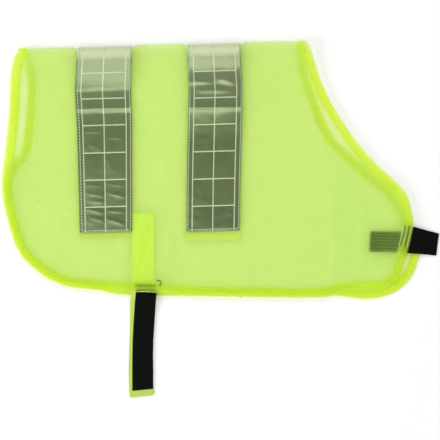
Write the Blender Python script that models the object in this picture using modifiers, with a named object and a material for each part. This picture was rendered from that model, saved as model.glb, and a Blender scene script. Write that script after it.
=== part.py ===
"""A reflective dog vest, folded in half along the back and laid flat on a surface.

Metres, +Z up. The neck end points to +X and the fold along the back to +Y. The origin is on the surface,
under the middle of the vest. All tables and named sizes are in millimetres.

The vest is one flat cut of cloth. A place on it is (x, w): x runs along the back, and w runs across it,
from the far half (w < 0) over the fold (w = 0) to the near half (w > 0). on_cloth() folds such a place into
the room, and everything that is sewn on the cloth is made from its places, moved out by whole layers.
"""
import math

import bpy
import numpy as np

MM = 0.001

# Layers: each cloth, tape and webbing is one wall, and they lie on each other with a small gap
WALL = 1.0
GAP = 0.3
LAYER = WALL + GAP

# The fold along the back
FOLD_RADIUS = 3.5      # of the middle of the cloth's wall
FOLD_STEPS = 8
FOLD_EASE = 42.0       # the near half comes down from the fold within this
FOLD_ARC = math.pi * FOLD_RADIUS
FOLD_REACH = FOLD_RADIUS + WALL / 2 + LAYER / 2   # from the fold's centre to the outline above it

# The bound edge
BINDING_WIDTH = 8.0
BINDING_ROUND = 0.6
BOUND_INSET = GAP + WALL    # from the finished edge in to the cloth's own edge
RIM_EASE = 24.0             # the near half comes down from its thick rim within this

# The top edge of the folded vest, from the tail to the neck: (x, y)
FOLD_LINE = ((-180.5, 153.6), (-126.5, 154.6), (-27.4, 157.3), (76.0, 160.1))

# The finished outline of each half in three stretches, each table (x, y)
NEAR_TAIL = (
    (-182.3, 148.9), (-185.6, 144.4), (-188.6, 129.1), (-189.6, 107.5), (-190.9, 82.3), (-194.3, 53.5),
    (-196.3, 31.9), (-193.8, 12.1), (-187.1, -13.1), (-174.7, -37.0), (-157.8, -51.4),
)
NEAR_BELLY = (
    (-135.5, -60.7), (-110.2, -63.5), (-90.5, -64.7), (-68.9, -64.6), (-50.0, -66.2), (-18.4, -68.7),
    (37.4, -69.8), (87.8, -69.8), (112.0, -65.3), (134.6, -63.7), (149.0, -60.8), (158.8, -52.7),
)
NEAR_NECK = (
    (163.3, -41.0), (168.0, -28.4), (173.4, -6.8), (172.3, 5.8), (167.8, 22.0), (155.7, 35.5),
    (139.9, 49.9), (121.2, 71.5), (102.4, 100.3), (91.6, 121.9), (83.9, 143.5), (78.2, 155.5),
)
FAR_TAIL = (
    (-181.3, 148.9), (-180.6, 145.0), (-177.4, 138.5), (-174.4, 131.5), (-172.9, 121.0), (-173.7, 100.3),
    (-176.4, 75.1), (-180.0, 62.5), (-187.7, 53.5), (-193.5, 44.5), (-195.2, 31.9), (-192.9, 12.1), (-186.3, -13.1),
    (-174.2, -37.0), (-157.2, -50.9),
)
FAR_BELLY = (
    (-135.5, -60.2), (-110.2, -63.4), (-97.7, -66.2), (-77.9, -68.3), (-50.0, -68.9), (-5.0, -69.2),
    (37.4, -70.0), (87.8, -70.2), (104.0, -68.8), (118.4, -70.4), (132.8, -71.3), (147.2, -69.1),
    (159.8, -62.9),
)
FAR_NECK = (
    (170.6, -51.8), (176.8, -38.3), (178.0, -27.5), (174.6, -14.9), (170.1, -1.4), (165.3, 10.6),
    (152.6, 27.1), (134.6, 40.6), (117.9, 57.1), (101.4, 71.5), (92.9, 86.3), (84.9, 113.0),
    (77.3, 137.5), (75.9, 155.5),
)

# The edges of the two reflective bands down the near half: (y, rear left, rear right, front left, right)
BAND_EDGES = (
    (155.2, -128.3, -79.5, -29.9, 17.5),
    (116.5, -131.1, -80.7, -28.6, 19.7),
    (85.9, -129.2, -79.7, -29.3, 19.2),
    (35.5, -127.7, -79.7, -30.2, 17.9),
    (-11.3, -126.5, -79.7, -30.6, 17.1),
)

# Heights of the cloth's rows below the fold, close together where it is creased. The bands end on the last.
NEAR_ROWS = (147.1, 141.7, 134.5, 125.5, 116.5, 109.3, 103.9, 99.4, 94.9, 89.5, 78.7, 66.1, 53.5, 40.9,
             26.5, 12.1, -0.5, -11.3)
FAR_ROWS = (145.3, 138.1, 127.3, 114.7, 100.3, 85.9, 73.3, 62.5, 53.5, 44.5, 28.3, 6.7, -18.0)
NEAR_LOW_ROWS = 6      # from there to the belly edge
FAR_LOW_ROWS = 4
STRETCH_COLUMNS = (6, 4, 8, 4, 12)   # tail, rear band, between, front band, neck
EDGE_CROWDING = 1.4    # above 1, rows and columns stand closer together towards the edge

# What lifts or lowers the near half: (x, y, half length, half width, turn in degrees, ease, height)
SWELLS = {
    "belly straps under the edge": (-68.5, -62.0, 15.0, 12.0, 0, 22.0, 2 * LAYER),
    "chest tab under the edge": (168.5, -17.0, 14.0, 9.0, 80, 16.0, LAYER),
    "tail edge with nothing under it": (-190.5, 103.0, 18.0, 4.0, 88, 22.0, -1.6),
    "packing crease across the bands": (-18.0, 99.4, 95.0, 0.0, 0, 7.0, 0.9),
    "packing crease near the tail": (-108.0, 53.5, 60.0, 0.0, 0, 10.0, 0.5),
}

# The belly strap, sewn inside the far half: (y, left x, right x)
STRAP = (
    (5.8, -80.1, -59.9), (-54.5, -80.3, -59.4), (-72.5, -80.5, -57.6), (-108.5, -81.6, -59.5),
    (-135.5, -82.7, -59.9), (-160.7, -82.1, -59.6),
)
STRAP_ROWS = (5.8, -16.0, -37.0, -44.0, -48.0, -52.0, -56.3, -59.0, -70.7, -75.0, -79.0, -83.0, -87.0,
              -91.0, -96.0, -118.0, -136.0, -160.7)
# The black hook strip on it, sewn inside the near edge: (y, left x, right x)
HOOK_STRIP = ((-56.3, -75.9, -57.1), (-66.2, -76.2, -57.4), (-108.5, -78.3, -59.6), (-153.5, -78.8, -60.4))
# From its root on the far half, the strap climbs one layer over the bound edge and falls to the surface
STRAP_CLIMB_AT, STRAP_CLIMB_LENGTH = -43.0, 14.0
STRAP_FALL_AT, STRAP_FALL_LENGTH = -71.0, 22.0

# The chest tab from its root to its end: (upper x, upper y, lower x, lower y, layer)
CHEST_TAB = (
    (168.3, -5.0, 163.3, -27.5, 3.0), (174.2, -6.7, 167.8, -30.2, 3.0), (180.2, -8.3, 179.4, -31.2, 3.0),
    (183.6, -9.3, 182.6, -31.5, 2.1), (187.6, -10.4, 186.0, -31.8, 0.75), (191.4, -11.4, 189.6, -32.2, 0.0),
    (196.1, -12.7, 193.6, -32.6, 0.0),
)
# The chest patch on the inside of the far half: (upper x, upper y, lower x, lower y, layer)
CHEST_PATCH = ((135.2, -10.8, 133.7, -28.8, 2.0), (163.6, -11.2, 158.7, -29.6, 2.0))
ACROSS_STEPS = 4       # faces across a strap or a tab

# Finishes: (colour, metallic, roughness)
FINISHES = {
    "yellow_polyester": ((0.56, 0.83, 0.19, 1.0), 0.0, 0.75),
    "yellow_bias_tape": ((0.50, 0.80, 0.09, 1.0), 0.0, 0.6),
    "reflective_pvc_tape": ((0.42, 0.46, 0.36, 1.0), 0.0, 0.2),
    "black_hook_and_loop": ((0.012, 0.014, 0.012, 1.0), 0.0, 0.9),
}


def height_of(layer):
    """The middle of a layer above the surface: layer 0 lies on it."""
    return WALL / 2 + layer * LAYER


def ease(distance, reach):
    """1 at no distance, falling in a half wave of a cosine to 0 at reach."""
    return 0.5 * (1 + np.cos(np.pi * np.clip(distance / reach, 0, 1)))


def smooth_curve(points, steps=10):
    """Points along the Catmull-Rom curve through a table's points, with steps to each stretch."""
    p = np.array(points, float)
    p = np.vstack([2 * p[0] - p[1], p, 2 * p[-1] - p[-2]])
    t = np.arange(steps)[:, None] / steps
    stretches = [
        0.5 * (2 * b + (c - a) * t + (2 * a - 5 * b + 4 * c - d) * t**2 + (3 * b - a - 3 * c + d) * t**3)
        for a, b, c, d in zip(p, p[1:], p[2:], p[3:])
    ]
    return np.vstack(stretches + [p[-2:-1]])


def outline(tail, belly, neck, inset, steps=10):
    """The three stretches of a half's edge as smooth curves, moved in by inset."""
    curve = smooth_curve(tail + belly + neck, steps)
    along = np.gradient(curve, axis=0)
    along /= np.linalg.norm(along, axis=1, keepdims=True)
    curve = curve + inset * np.stack([-along[:, 1], along[:, 0]], 1)
    first = (len(tail) - 1) * steps
    second = (len(tail) + len(belly) - 1) * steps
    return curve[: first + 1], curve[first : second + 1], curve[second:]


def fold_centre(x):
    """The y of the fold's centre line at x."""
    line = np.array(FOLD_LINE)
    return np.interp(x, line[:, 0], line[:, 1]) - FOLD_REACH


NEAR_EDGE = np.vstack(outline(NEAR_TAIL, NEAR_BELLY, NEAR_NECK, 0.0))


def edge_distance(x, y):
    """How far each place lies from the near half's edge."""
    gap = np.hypot(x[..., None] - NEAR_EDGE[:, 0], y[..., None] - NEAR_EDGE[:, 1])
    return gap.min(axis=-1)


def swell(x, y, centre_x, centre_y, half_length, half_width, turn, reach, height):
    """A flat-topped rise: full height inside a turned rectangle, eased to nothing around it."""
    c, s = math.cos(math.radians(turn)), math.sin(math.radians(turn))
    along = np.abs((x - centre_x) * c + (y - centre_y) * s) - half_length
    across = np.abs((y - centre_y) * c - (x - centre_x) * s) - half_width
    return height * ease(np.hypot(np.maximum(along, 0), np.maximum(across, 0)), reach)


def near_height(x, y):
    """The near half's height: on the far half, higher over its thick edges, with its swells."""
    z = height_of(3) + LAYER * ease(edge_distance(x, y) - BINDING_WIDTH, RIM_EASE)
    for row in SWELLS.values():
        z = z + swell(x, y, *row)
    return z


def cloth_middle(x, w):
    """The middle of the cloth's wall at the places (x, w) of its flat cut, as points (x, y, z)."""
    turn = np.clip(w / FOLD_RADIUS, -math.pi / 2, math.pi / 2)
    beyond = np.maximum(np.abs(w) - FOLD_ARC / 2, 0)
    y = fold_centre(x) + FOLD_RADIUS * np.cos(turn) - beyond
    far_z = height_of(1) + FOLD_RADIUS * (1 + np.sin(turn))
    share = ease(beyond, FOLD_EASE)
    near_z = far_z * share + near_height(x, y) * (1 - share)
    return np.stack([x, y, np.where(w > 0, near_z, far_z)], axis=-1)


def on_cloth(x, w, lift=0.0):
    """The places (x, w) of the flat cut, moved out of the cloth by lift along its normal."""
    x, w = np.broadcast_arrays(np.asarray(x, float), np.asarray(w, float))
    nudge = 0.5
    along = cloth_middle(x + nudge, w) - cloth_middle(x - nudge, w)
    across = cloth_middle(x, w + nudge) - cloth_middle(x, w - nudge)
    normal = np.cross(across, along)
    normal /= np.linalg.norm(normal, axis=-1, keepdims=True)
    return cloth_middle(x, w) + np.asarray(lift, float)[..., None] * normal


def crowded(share):
    """Shares from 0 to 1, moved so that they stand closer together towards 1."""
    return 1 - (1 - share) ** EDGE_CROWDING


def column_numbers():
    """A running number for each column: its whole part is the stretch that the column is in."""
    steps = [k + np.arange(n) / n for k, n in enumerate(STRETCH_COLUMNS)]
    columns = np.concatenate(steps + [[len(STRETCH_COLUMNS)]])
    neck = len(STRETCH_COLUMNS) - 1
    columns = np.where(columns < 1, columns ** EDGE_CROWDING, columns)
    return np.where(columns > neck, neck + crowded(np.maximum(columns - neck, 0)), columns)


def half_grid(edges, rows, low_rows):
    """The plan of one half as arrays x and y: rows from the fold to the belly edge, columns tail to neck.

    A row runs straight across and passes the edges of both bands on its way. Below the bands, the rows
    turn into the belly edge, and their ends follow the round corners.
    """
    tail, belly, neck = edges
    bands = np.array(BAND_EDGES)[::-1]
    columns = column_numbers()
    stops = np.arange(len(STRETCH_COLUMNS) + 1)

    def row(y, left, right):
        stations = [np.interp(y, bands[:, 0], bands[:, k]) for k in range(1, 5)]
        return np.interp(columns, stops, [left, *stations, right])

    def tail_x(y):
        return np.interp(y, tail[::-1, 1], tail[::-1, 0])

    def neck_x(y):
        return np.interp(y, neck[:, 1], neck[:, 0])

    top = row(bands[-1, 0], tail[0, 0], neck[-1, 0])
    xs, ys = [top], [fold_centre(top)]
    for y in rows:
        xs.append(row(y, tail_x(y), neck_x(y)))
        ys.append(np.full(len(columns), y))

    last_x, last_y = xs[-1], ys[-1]
    low_x = row(rows[-1], belly[0, 0], belly[-1, 0])
    low_y = np.interp(low_x, belly[:, 0], belly[:, 1])
    tail_pull = np.clip(1 - columns, 0, 1)
    neck_pull = np.clip(columns - stops[-2], 0, 1)
    for share in crowded(np.arange(1, low_rows + 1) / low_rows):
        x = last_x + share * (low_x - last_x)
        y = last_y + share * (low_y - last_y)
        x = x + tail_pull * (tail_x(y[0]) - x[0]) + neck_pull * (neck_x(y[-1]) - x[-1])
        xs.append(x)
        ys.append(y)
    return np.array(xs), np.array(ys)


def flat_cut():
    """The whole cut as arrays x and w: rows from the far belly edge over the fold to the near one."""
    near_edges = outline(NEAR_TAIL, NEAR_BELLY, NEAR_NECK, BOUND_INSET)
    far_edges = outline(FAR_TAIL, FAR_BELLY, FAR_NECK, BOUND_INSET)
    near_x, near_y = half_grid(near_edges, NEAR_ROWS, NEAR_LOW_ROWS)
    far_x, far_y = half_grid(far_edges, FAR_ROWS, FAR_LOW_ROWS)
    near_w = FOLD_ARC / 2 + fold_centre(near_x) - near_y
    far_w = -FOLD_ARC / 2 - fold_centre(far_x) + far_y
    share = np.arange(1, FOLD_STEPS)[:, None] / FOLD_STEPS
    fold_x = far_x[0] + share * (near_x[0] - far_x[0])
    fold_w = -FOLD_ARC / 2 + share * np.full(len(near_x[0]), FOLD_ARC)
    x = np.vstack([far_x[::-1], fold_x, near_x])
    w = np.vstack([far_w[::-1], fold_w, near_w])
    return x, w


def finish(name):
    """A plain material of one of the finishes."""
    colour, metallic, roughness = FINISHES[name]
    material = bpy.data.materials.get(name) or bpy.data.materials.new(name)
    material.use_nodes = True
    shader = material.node_tree.nodes["Principled BSDF"]
    shader.inputs["Base Color"].default_value = colour
    shader.inputs["Metallic"].default_value = metallic
    shader.inputs["Roughness"].default_value = roughness
    return material


def grid_faces(rows, columns, closed=False):
    """The four corners of each face of a grid. A closed one joins its last row and column to the first."""
    number = np.arange(rows * columns).reshape(rows, columns)
    if closed:
        number = np.vstack([number, number[:1]])
        number = np.hstack([number, number[:, :1]])
    return np.stack([number[:-1, :-1], number[:-1, 1:], number[1:, 1:], number[1:, :-1]], -1).reshape(-1, 4)


def add_piece(name, points, finish_name, collection, closed=False):
    """A piece from its grid of points in millimetres: an open grid gets its wall from Solidify."""
    rows, columns = points.shape[:2]
    mesh = bpy.data.meshes.new(name)
    corners = (points * MM).reshape(-1, 3)
    mesh.from_pydata(corners.tolist(), [], grid_faces(rows, columns, closed).tolist())
    mesh.materials.append(finish(finish_name))
    mesh.shade_smooth()
    mesh.set_sharp_from_angle(angle=math.radians(40))
    piece = bpy.data.objects.new(name, mesh)
    collection.objects.link(piece)
    if not closed:
        wall = piece.modifiers.new("wall", "SOLIDIFY")
        wall.thickness = WALL * MM
        wall.offset = 0.0
        wall.use_even_offset = True
    return piece


def add_cloth(x, w, collection):
    """The body of the vest, one cut of cloth folded along the back."""
    add_piece("vest_cloth", on_cloth(x, w), "yellow_polyester", collection)


def add_bands(x, w, collection):
    """The two reflective bands, each over the cloth's own rows and columns and one layer further out."""
    starts = np.cumsum((0,) + STRETCH_COLUMNS)
    rows = slice(FAR_LOW_ROWS, len(x) - NEAR_LOW_ROWS)
    for name, stretch in (("rear_band", 1), ("front_band", 3)):
        columns = slice(starts[stretch], starts[stretch + 1] + 1)
        points = on_cloth(x[rows, columns], w[rows, columns], LAYER)
        add_piece(name, points, "reflective_pvc_tape", collection)


def add_binding(x, w, collection):
    """The bias tape folded over the cloth's edge: its folded section carried round the flat cut."""
    path = np.concatenate([
        np.stack([x[0], w[0]], 1),
        np.stack([x[1:, -1], w[1:, -1]], 1),
        np.stack([x[-1, -2::-1], w[-1, -2::-1]], 1),
        np.stack([x[-2:0:-1, 0], w[-2:0:-1, 0]], 1),
    ])
    ahead = np.roll(path, -1, axis=0) - path
    ahead /= np.linalg.norm(ahead, axis=1, keepdims=True)
    after = np.stack([ahead[:, 1], -ahead[:, 0]], 1)
    before = np.roll(after, 1, axis=0)
    outward = (before + after) / (1 + (before * after).sum(1, keepdims=True))

    outer = WALL / 2 + GAP + WALL
    inner = WALL / 2 + GAP
    tip = BOUND_INSET - BINDING_WIDTH
    section = np.array([
        (tip, inner), (GAP, inner), (GAP, -inner), (tip, -inner),
        (tip, -outer), (BOUND_INSET - BINDING_ROUND, -outer), (BOUND_INSET, BINDING_ROUND - outer),
        (BOUND_INSET, outer - BINDING_ROUND), (BOUND_INSET - BINDING_ROUND, outer), (tip, outer),
    ])
    flat = path[:, None, :] + section[None, :, :1] * outward[:, None, :]
    lift = np.broadcast_to(section[:, 1], flat.shape[:2])
    points = on_cloth(flat[..., 0], flat[..., 1], lift)
    add_piece("edge_binding", points, "yellow_bias_tape", collection, closed=True)


def ribbon(rows):
    """A flat strip from its rows (left x, left y, right x, right y, layer), as a grid of points."""
    rows = np.array(rows, float)
    share = np.arange(ACROSS_STEPS + 1) / ACROSS_STEPS
    x = rows[:, :1] + share * (rows[:, 2:3] - rows[:, :1])
    y = rows[:, 1:2] + share * (rows[:, 3:4] - rows[:, 1:2])
    z = height_of(rows[:, 4:5]) + 0 * share
    return np.stack([x, y, z], -1)


def strap_rows(table, heights, lift):
    """Rows of a strap at the given y: over the far half, up over its bound edge and down to the surface."""
    table = np.array(table)[::-1]
    y = np.array(heights)
    left = np.interp(y, table[:, 0], table[:, 1])
    right = np.interp(y, table[:, 0], table[:, 2])
    climbed = 1 - ease(STRAP_CLIMB_AT - y, STRAP_CLIMB_LENGTH)
    fallen = 1 - ease(STRAP_FALL_AT - y, STRAP_FALL_LENGTH)
    return np.stack([left, y, right, y, 2 + climbed - 3 * fallen + lift], 1)


def add_fasteners(collection):
    """The belly strap with its hook strip, and the tab and patch that close the chest."""
    strap = strap_rows(STRAP, STRAP_ROWS, 0)
    on_strap = [y for y in STRAP_ROWS if HOOK_STRIP[-1][0] < y <= HOOK_STRIP[0][0]]
    strip = strap_rows(HOOK_STRIP, on_strap + [HOOK_STRIP[-1][0]], 1)
    add_piece("belly_strap", ribbon(strap), "yellow_bias_tape", collection)
    add_piece("belly_hook_strip", ribbon(strip), "black_hook_and_loop", collection)
    add_piece("chest_hook_tab", ribbon(CHEST_TAB), "black_hook_and_loop", collection)
    add_piece("chest_loop_patch", ribbon(CHEST_PATCH), "black_hook_and_loop", collection)


def main():
    """Clear the scene and build the vest in a collection of its own."""
    for item in list(bpy.data.objects):
        bpy.data.objects.remove(item, do_unlink=True)
    collection = bpy.data.collections.new("reflective_dog_vest")
    bpy.context.scene.collection.children.link(collection)
    x, w = flat_cut()
    add_cloth(x, w, collection)
    add_bands(x, w, collection)
    add_binding(x, w, collection)
    add_fasteners(collection)


main()
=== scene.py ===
# %% [markdown]
# # A reflective dog vest, laid flat
#
# The real vest is one cut of thin, see-through yellow polyester. Bias tape binds its edge, two strips of
# reflective PVC tape cross over the back, and a belly strap and two chest fasteners close it. It lies
# folded in half along the back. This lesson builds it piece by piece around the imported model, whose
# solids already have the right size and place.

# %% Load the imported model
import math

import bpy
import numpy as np
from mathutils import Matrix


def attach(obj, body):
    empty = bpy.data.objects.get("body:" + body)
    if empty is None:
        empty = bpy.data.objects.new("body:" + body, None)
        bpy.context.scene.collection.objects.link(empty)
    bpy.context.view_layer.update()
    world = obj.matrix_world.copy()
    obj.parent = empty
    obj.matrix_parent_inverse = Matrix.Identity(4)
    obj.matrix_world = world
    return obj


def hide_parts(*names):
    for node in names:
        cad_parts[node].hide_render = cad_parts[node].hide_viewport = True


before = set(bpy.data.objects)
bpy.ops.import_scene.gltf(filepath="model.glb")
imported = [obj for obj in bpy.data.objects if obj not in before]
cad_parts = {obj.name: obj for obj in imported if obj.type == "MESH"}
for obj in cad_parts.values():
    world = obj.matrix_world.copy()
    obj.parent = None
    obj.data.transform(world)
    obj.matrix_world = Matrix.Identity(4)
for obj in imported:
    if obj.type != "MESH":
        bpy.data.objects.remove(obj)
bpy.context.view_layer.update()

# %% [markdown]
# ## The stack of layers
#
# Seen from the side, a folded vest is a stack: far tape, far cloth, far binding, straps, near binding, near
# cloth and near tape. The solids give every layer one thick wall. Here each piece gets its real thickness,
# so the heights are named once, and every piece is lifted from the cloth that carries it. All sizes in this
# file are in millimetres until a mesh is made.

# %% Name the heights and thicknesses
MM = 0.001

CLOTH = 0.3             # thickness of each material
TAPE = 0.7
STRAP = 0.7
HOOK = 1.0
AIR = 0.1               # left between pieces that touch

FAR_HEIGHT = 1.2        # middle of the far cloth above the table
NEAR_HEIGHT = 2.7       # middle of the near cloth in the open field
RIM_LIFT = 1.2          # more over the bound edge of the far half
RIM_EASE = 24.0

FOLD_RADIUS = 3.4                  # upright: half the height between both halves
FOLD_NOSE = 2.0                    # lengthwise: the fold is pressed to a half ellipse
FOLD_ARC = math.pi * (FOLD_RADIUS + FOLD_NOSE) / 2
FOLD_STEPS = 12
FOLD_REACH = FOLD_NOSE + 0.3       # from the fold's centre line to the outline above it

BINDING_WIDTH = 8.0
BINDING_RISE = 0.94                # half the thickness of the puffed binding
TAPE_LIFT = CLOTH / 2 + AIR + TAPE / 2
print("the fold stands", FAR_HEIGHT + 2 * FOLD_RADIUS + TAPE_LIFT + TAPE / 2, "mm high")

# %% [markdown]
# ## The outline
#
# A bound edge is one flowing line, so each half is drawn with few points, and a Catmull-Rom curve runs
# smoothly through them. The three stretches, tail, belly and neck, are kept apart because the grid of the
# cloth needs its corners.

# %% Draw the edge of both halves
FOLD_LINE = np.array((    # it dips under each band
    (-180.5, 153.7), (-132.0, 154.8), (-128.8, 153.5), (-79.0, 154.9), (-75.5, 156.8), (-34.0, 157.9),
    (-30.4, 156.1), (18.0, 157.5), (21.5, 159.3), (50.0, 160.1), (76.0, 159.7),
))

NEAR_TAIL = (
    (-182.4, 150.8), (-184.7, 147.2), (-186.4, 142.5), (-188.3, 133.0), (-189.6, 118.0), (-189.9, 105.5),
    (-191.2, 88.0), (-193.8, 62.5), (-195.4, 50.0), (-196.8, 33.0), (-195.8, 17.5), (-191.6, -0.5),
    (-186.5, -18.5), (-182.3, -27.5), (-175.6, -37.3), (-157.8, -52.1),
)
NEAR_BELLY = (
    (-147.0, -57.5), (-135.5, -61.0), (-110.2, -63.5), (-90.5, -64.7), (-68.9, -64.6), (-50.0, -66.2),
    (-18.4, -68.7), (37.4, -69.8), (87.8, -69.8), (112.0, -65.3), (134.6, -63.7), (150.0, -61.2),
    (160.6, -53.4),
)
NEAR_NECK = (
    (164.8, -41.0), (168.6, -28.4), (173.4, -6.8), (172.3, 5.8), (167.8, 22.0), (155.7, 35.5),
    (139.9, 49.9), (121.2, 71.5), (102.4, 100.3), (91.6, 121.9), (83.9, 143.5), (78.2, 155.5),
)
FAR_TAIL = (
    (-180.2, 150.4), (-179.2, 145.0), (-176.8, 138.5), (-174.9, 131.5), (-174.2, 121.0), (-175.2, 100.3),
    (-177.4, 76.0), (-180.0, 62.5), (-184.0, 55.5), (-189.5, 50.0), (-194.0, 43.0), (-195.9, 31.9),
    (-194.9, 17.5), (-190.8, -0.5), (-185.8, -18.5), (-181.6, -27.5), (-174.9, -37.4), (-157.2, -51.7),
)
FAR_BELLY = (
    (-135.5, -60.8), (-110.2, -64.0), (-97.7, -67.0), (-77.9, -68.6), (-50.0, -69.2), (-5.0, -69.6),
    (37.4, -70.4), (87.8, -70.6), (104.0, -69.1), (118.4, -70.7), (132.8, -71.9), (147.2, -69.6),
    (160.6, -63.6),
)
FAR_NECK = (
    (171.4, -52.6), (177.7, -38.6), (178.9, -27.5), (174.6, -14.9), (170.1, -1.4), (165.3, 10.6),
    (154.4, 27.1), (138.0, 40.6), (120.3, 57.1), (104.6, 71.5), (95.7, 86.3), (85.3, 113.0),
    (77.3, 137.5), (75.9, 155.5),
)


def smooth_curve(points, steps):
    """Points along the Catmull-Rom curve through a table's points: each stretch is a cubic of its share t,
    with half the chord between its neighbours as the direction at each end."""
    p = np.array(points, float)
    p = np.vstack([2 * p[0] - p[1], p, 2 * p[-1] - p[-2]])
    t = np.arange(steps)[:, None] / steps
    stretches = [
        0.5 * (2 * b + (c - a) * t + (2 * a - 5 * b + 4 * c - d) * t**2 + (3 * b - a - 3 * c + d) * t**3)
        for a, b, c, d in zip(p, p[1:], p[2:], p[3:])
    ]
    return np.vstack(stretches + [p[-2:-1]])


def outline(tail, belly, neck, inset=0.0, steps=10):
    """The three stretches of a half's edge, each point moved in by inset, square to the curve."""
    curve = smooth_curve(tail + belly + neck, steps)
    along = np.gradient(curve, axis=0)
    along /= np.linalg.norm(along, axis=1, keepdims=True)
    curve = curve + inset * np.stack([-along[:, 1], along[:, 0]], 1)
    first = (len(tail) - 1) * steps
    second = (len(tail) + len(belly) - 1) * steps
    return curve[: first + 1], curve[first : second + 1], curve[second:]


def fold_centre(x):
    """The y of the fold's centre line at x, a fixed reach inside the straight lines of the top edge."""
    return np.interp(x, FOLD_LINE[:, 0], FOLD_LINE[:, 1]) - FOLD_REACH


def over_back(x, y):
    """How far over the back a place (x, y) of the near half lies: half the way round the fold, plus the way
    down to y. The far half's place is the negative of it, and the same formula leads back to y."""
    return FOLD_ARC / 2 + fold_centre(x) - y


def run_along(path):
    """How far along a path each of its places lies: the lengths of its steps, added up."""
    return np.concatenate([[0], np.cumsum(np.linalg.norm(np.diff(path, axis=0), axis=1))])


NEAR_EDGE = np.vstack(outline(NEAR_TAIL, NEAR_BELLY, NEAR_NECK, steps=4))
print("edge of the near half:", round(run_along(NEAR_EDGE)[-1]), "mm")

# %% [markdown]
# ## Creases and swells
#
# Cloth that was packed keeps its creases. A cloth simulation would lose them, so each one is listed: a
# ridge is a bell curve across a line, and a swell is a flat-topped rise over something thick
# underneath. No two have the same length, width or height.

# %% Place the creases
# Swells of the near half: (x, y, half length, half width, turn in degrees, ease, height)
SWELLS = {
    "belly straps under the edge": (-68.5, -62.0, 15.0, 12.0, 0, 22.0, 1.5),
    "chest tab under the edge": (168.5, -17.0, 14.0, 9.0, 80, 16.0, 0.5),
    "chest patch under the cloth": (147.0, -20.0, 12.0, 8.0, 0, 20.0, 1.1),
    "tail edge with nothing under it": (-190.5, 103.0, 18.0, 4.0, 88, 22.0, -1.2),
    "bend below the fold, over the rear band": (-110.0, 112.0, 36.0, 2.0, 0, 14.0, -0.4),
    "fullness under the front band": (-6.0, 108.0, 34.0, 12.0, 0, 26.0, 0.9),
}

# Ridges, and troughs where the height is negative: (x0, y0, x1, y1, width, height)
NEAR_CREASES = {
    "packing crease over the bands": (-158.0, 100.6, 96.0, 102.6, 3.4, 0.6),
    "its sharp crest": (-140.0, 100.7, 60.0, 101.6, 1.2, 0.12),
    "packing crease to the tail": (-191.0, 52.0, -130.0, 54.0, 2.6, 0.9),
    "trough under it": (-181.0, 44.5, -132.0, 46.0, 4.6, -0.6),
    "the same crease between the bands": (-81.0, 54.0, -28.0, 55.5, 2.4, 0.55),
    "upright crease at the neck": (101.2, 74.0, 102.5, -68.0, 2.4, 0.8),
    "second upright crease": (116.0, 30.0, 119.0, -58.0, 5.0, -0.5),
    "fold to the belly strap": (-66.0, 18.0, -77.0, -54.0, 2.4, 0.8),
    "short fold beside it": (-51.0, 24.0, -60.0, -30.0, 2.8, 0.6),
    "third fold by the strap": (-40.0, 4.0, -50.0, -48.0, 4.0, 0.4),
    "pull from the tail edge": (-189.0, 33.0, -138.0, -8.0, 3.2, 0.9),
    "dip above that pull": (-184.0, 45.0, -148.0, 19.0, 5.0, -0.6),
    "pull to the tail corner": (-176.0, 116.0, -160.0, 62.0, 4.2, 0.6),
    "short pull by the rear band": (-150.0, 90.0, -139.0, 64.0, 3.2, 0.4),
    "slack above the chest": (132.0, 38.0, 156.0, -6.0, 5.0, 0.7),
    "slack below the chest": (118.0, -36.0, 152.0, -46.0, 6.0, -0.5),
    "wave beside the front band": (31.0, 66.0, 44.0, -30.0, 9.0, 0.6),
    "wave in the neck": (58.0, 84.0, 116.0, 12.0, 10.0, 0.5),
    "wave between the bands": (-60.0, 78.0, -42.0, 30.0, 7.0, 0.5),
    "wave by the belly edge": (-30.0, -38.0, 66.0, -44.0, 8.0, 0.5),
}
FAR_SWELLS = {
    "thick seam under the chest patch": (146.0, -20.0, 9.0, 8.0, 0, 15.0, 1.1),
}
FAR_CREASES = {
    "packing crease": (-150.0, 97.0, 92.0, 101.0, 3.2, 0.35),
    "second packing crease": (-180.0, 50.0, -20.0, 54.0, 3.6, 0.3),
    "wave in the neck": (48.0, 88.0, 104.0, -8.0, 9.0, 0.35),
    "wave by the tail": (-168.0, 20.0, -138.0, -28.0, 7.0, 0.35),
    "wave between the bands": (-60.0, 40.0, -46.0, -46.0, 7.0, 0.3),
    "pull from the strap": (-50.0, 4.0, -10.0, -32.0, 5.0, 0.35),
}

# Painted light and shade of the near and the far half, as less cover (positive) or more (negative):
# along a line (x0, y0, x1, y1, width, amount) and in a field, as for the swells, with the amount last
LIGHT_AND_SHADE_LINES = {
    "packing crease": (-172.0, 98.7, 112.0, 100.2, 1.5, 0.9),
    "packing crease to the tail": (-84.0, 50.8, -50.0, 50.3, 1.6, -0.7),
    "beside the tail sliver": (-165.0, 98.0, -158.0, 48.0, 5.0, 1.1),
    "above the pull from the tail": (-190.0, 45.0, -146.0, 41.0, 5.0, -1.2),
    "pull from the tail, start": (-192.0, 30.0, -160.0, 24.0, 2.4, 1.1),
    "pull from the tail, rest": (-180.0, 31.0, -122.0, -13.0, 2.6, 1.2),
    "tail corner": (-154.0, -24.0, -126.0, -48.0, 5.0, 0.5),
    "below the rear band": (-101.0, -14.0, -87.0, -44.0, 5.0, 0.55),
    "fold to the belly strap": (-61.0, 0.0, -76.0, -56.0, 2.0, 1.5),
    "fold beside it": (-60.0, 2.0, -66.0, -48.0, 1.8, 1.0),
    "beside the strap": (-51.0, 2.0, -30.0, -50.0, 4.0, 0.7),
    "upright crease at the neck": (99.4, 66.0, 100.8, -66.0, 1.8, 1.2),
    "below the chest patch": (140.0, -37.0, 166.0, -44.0, 4.0, 0.8),
}
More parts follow.
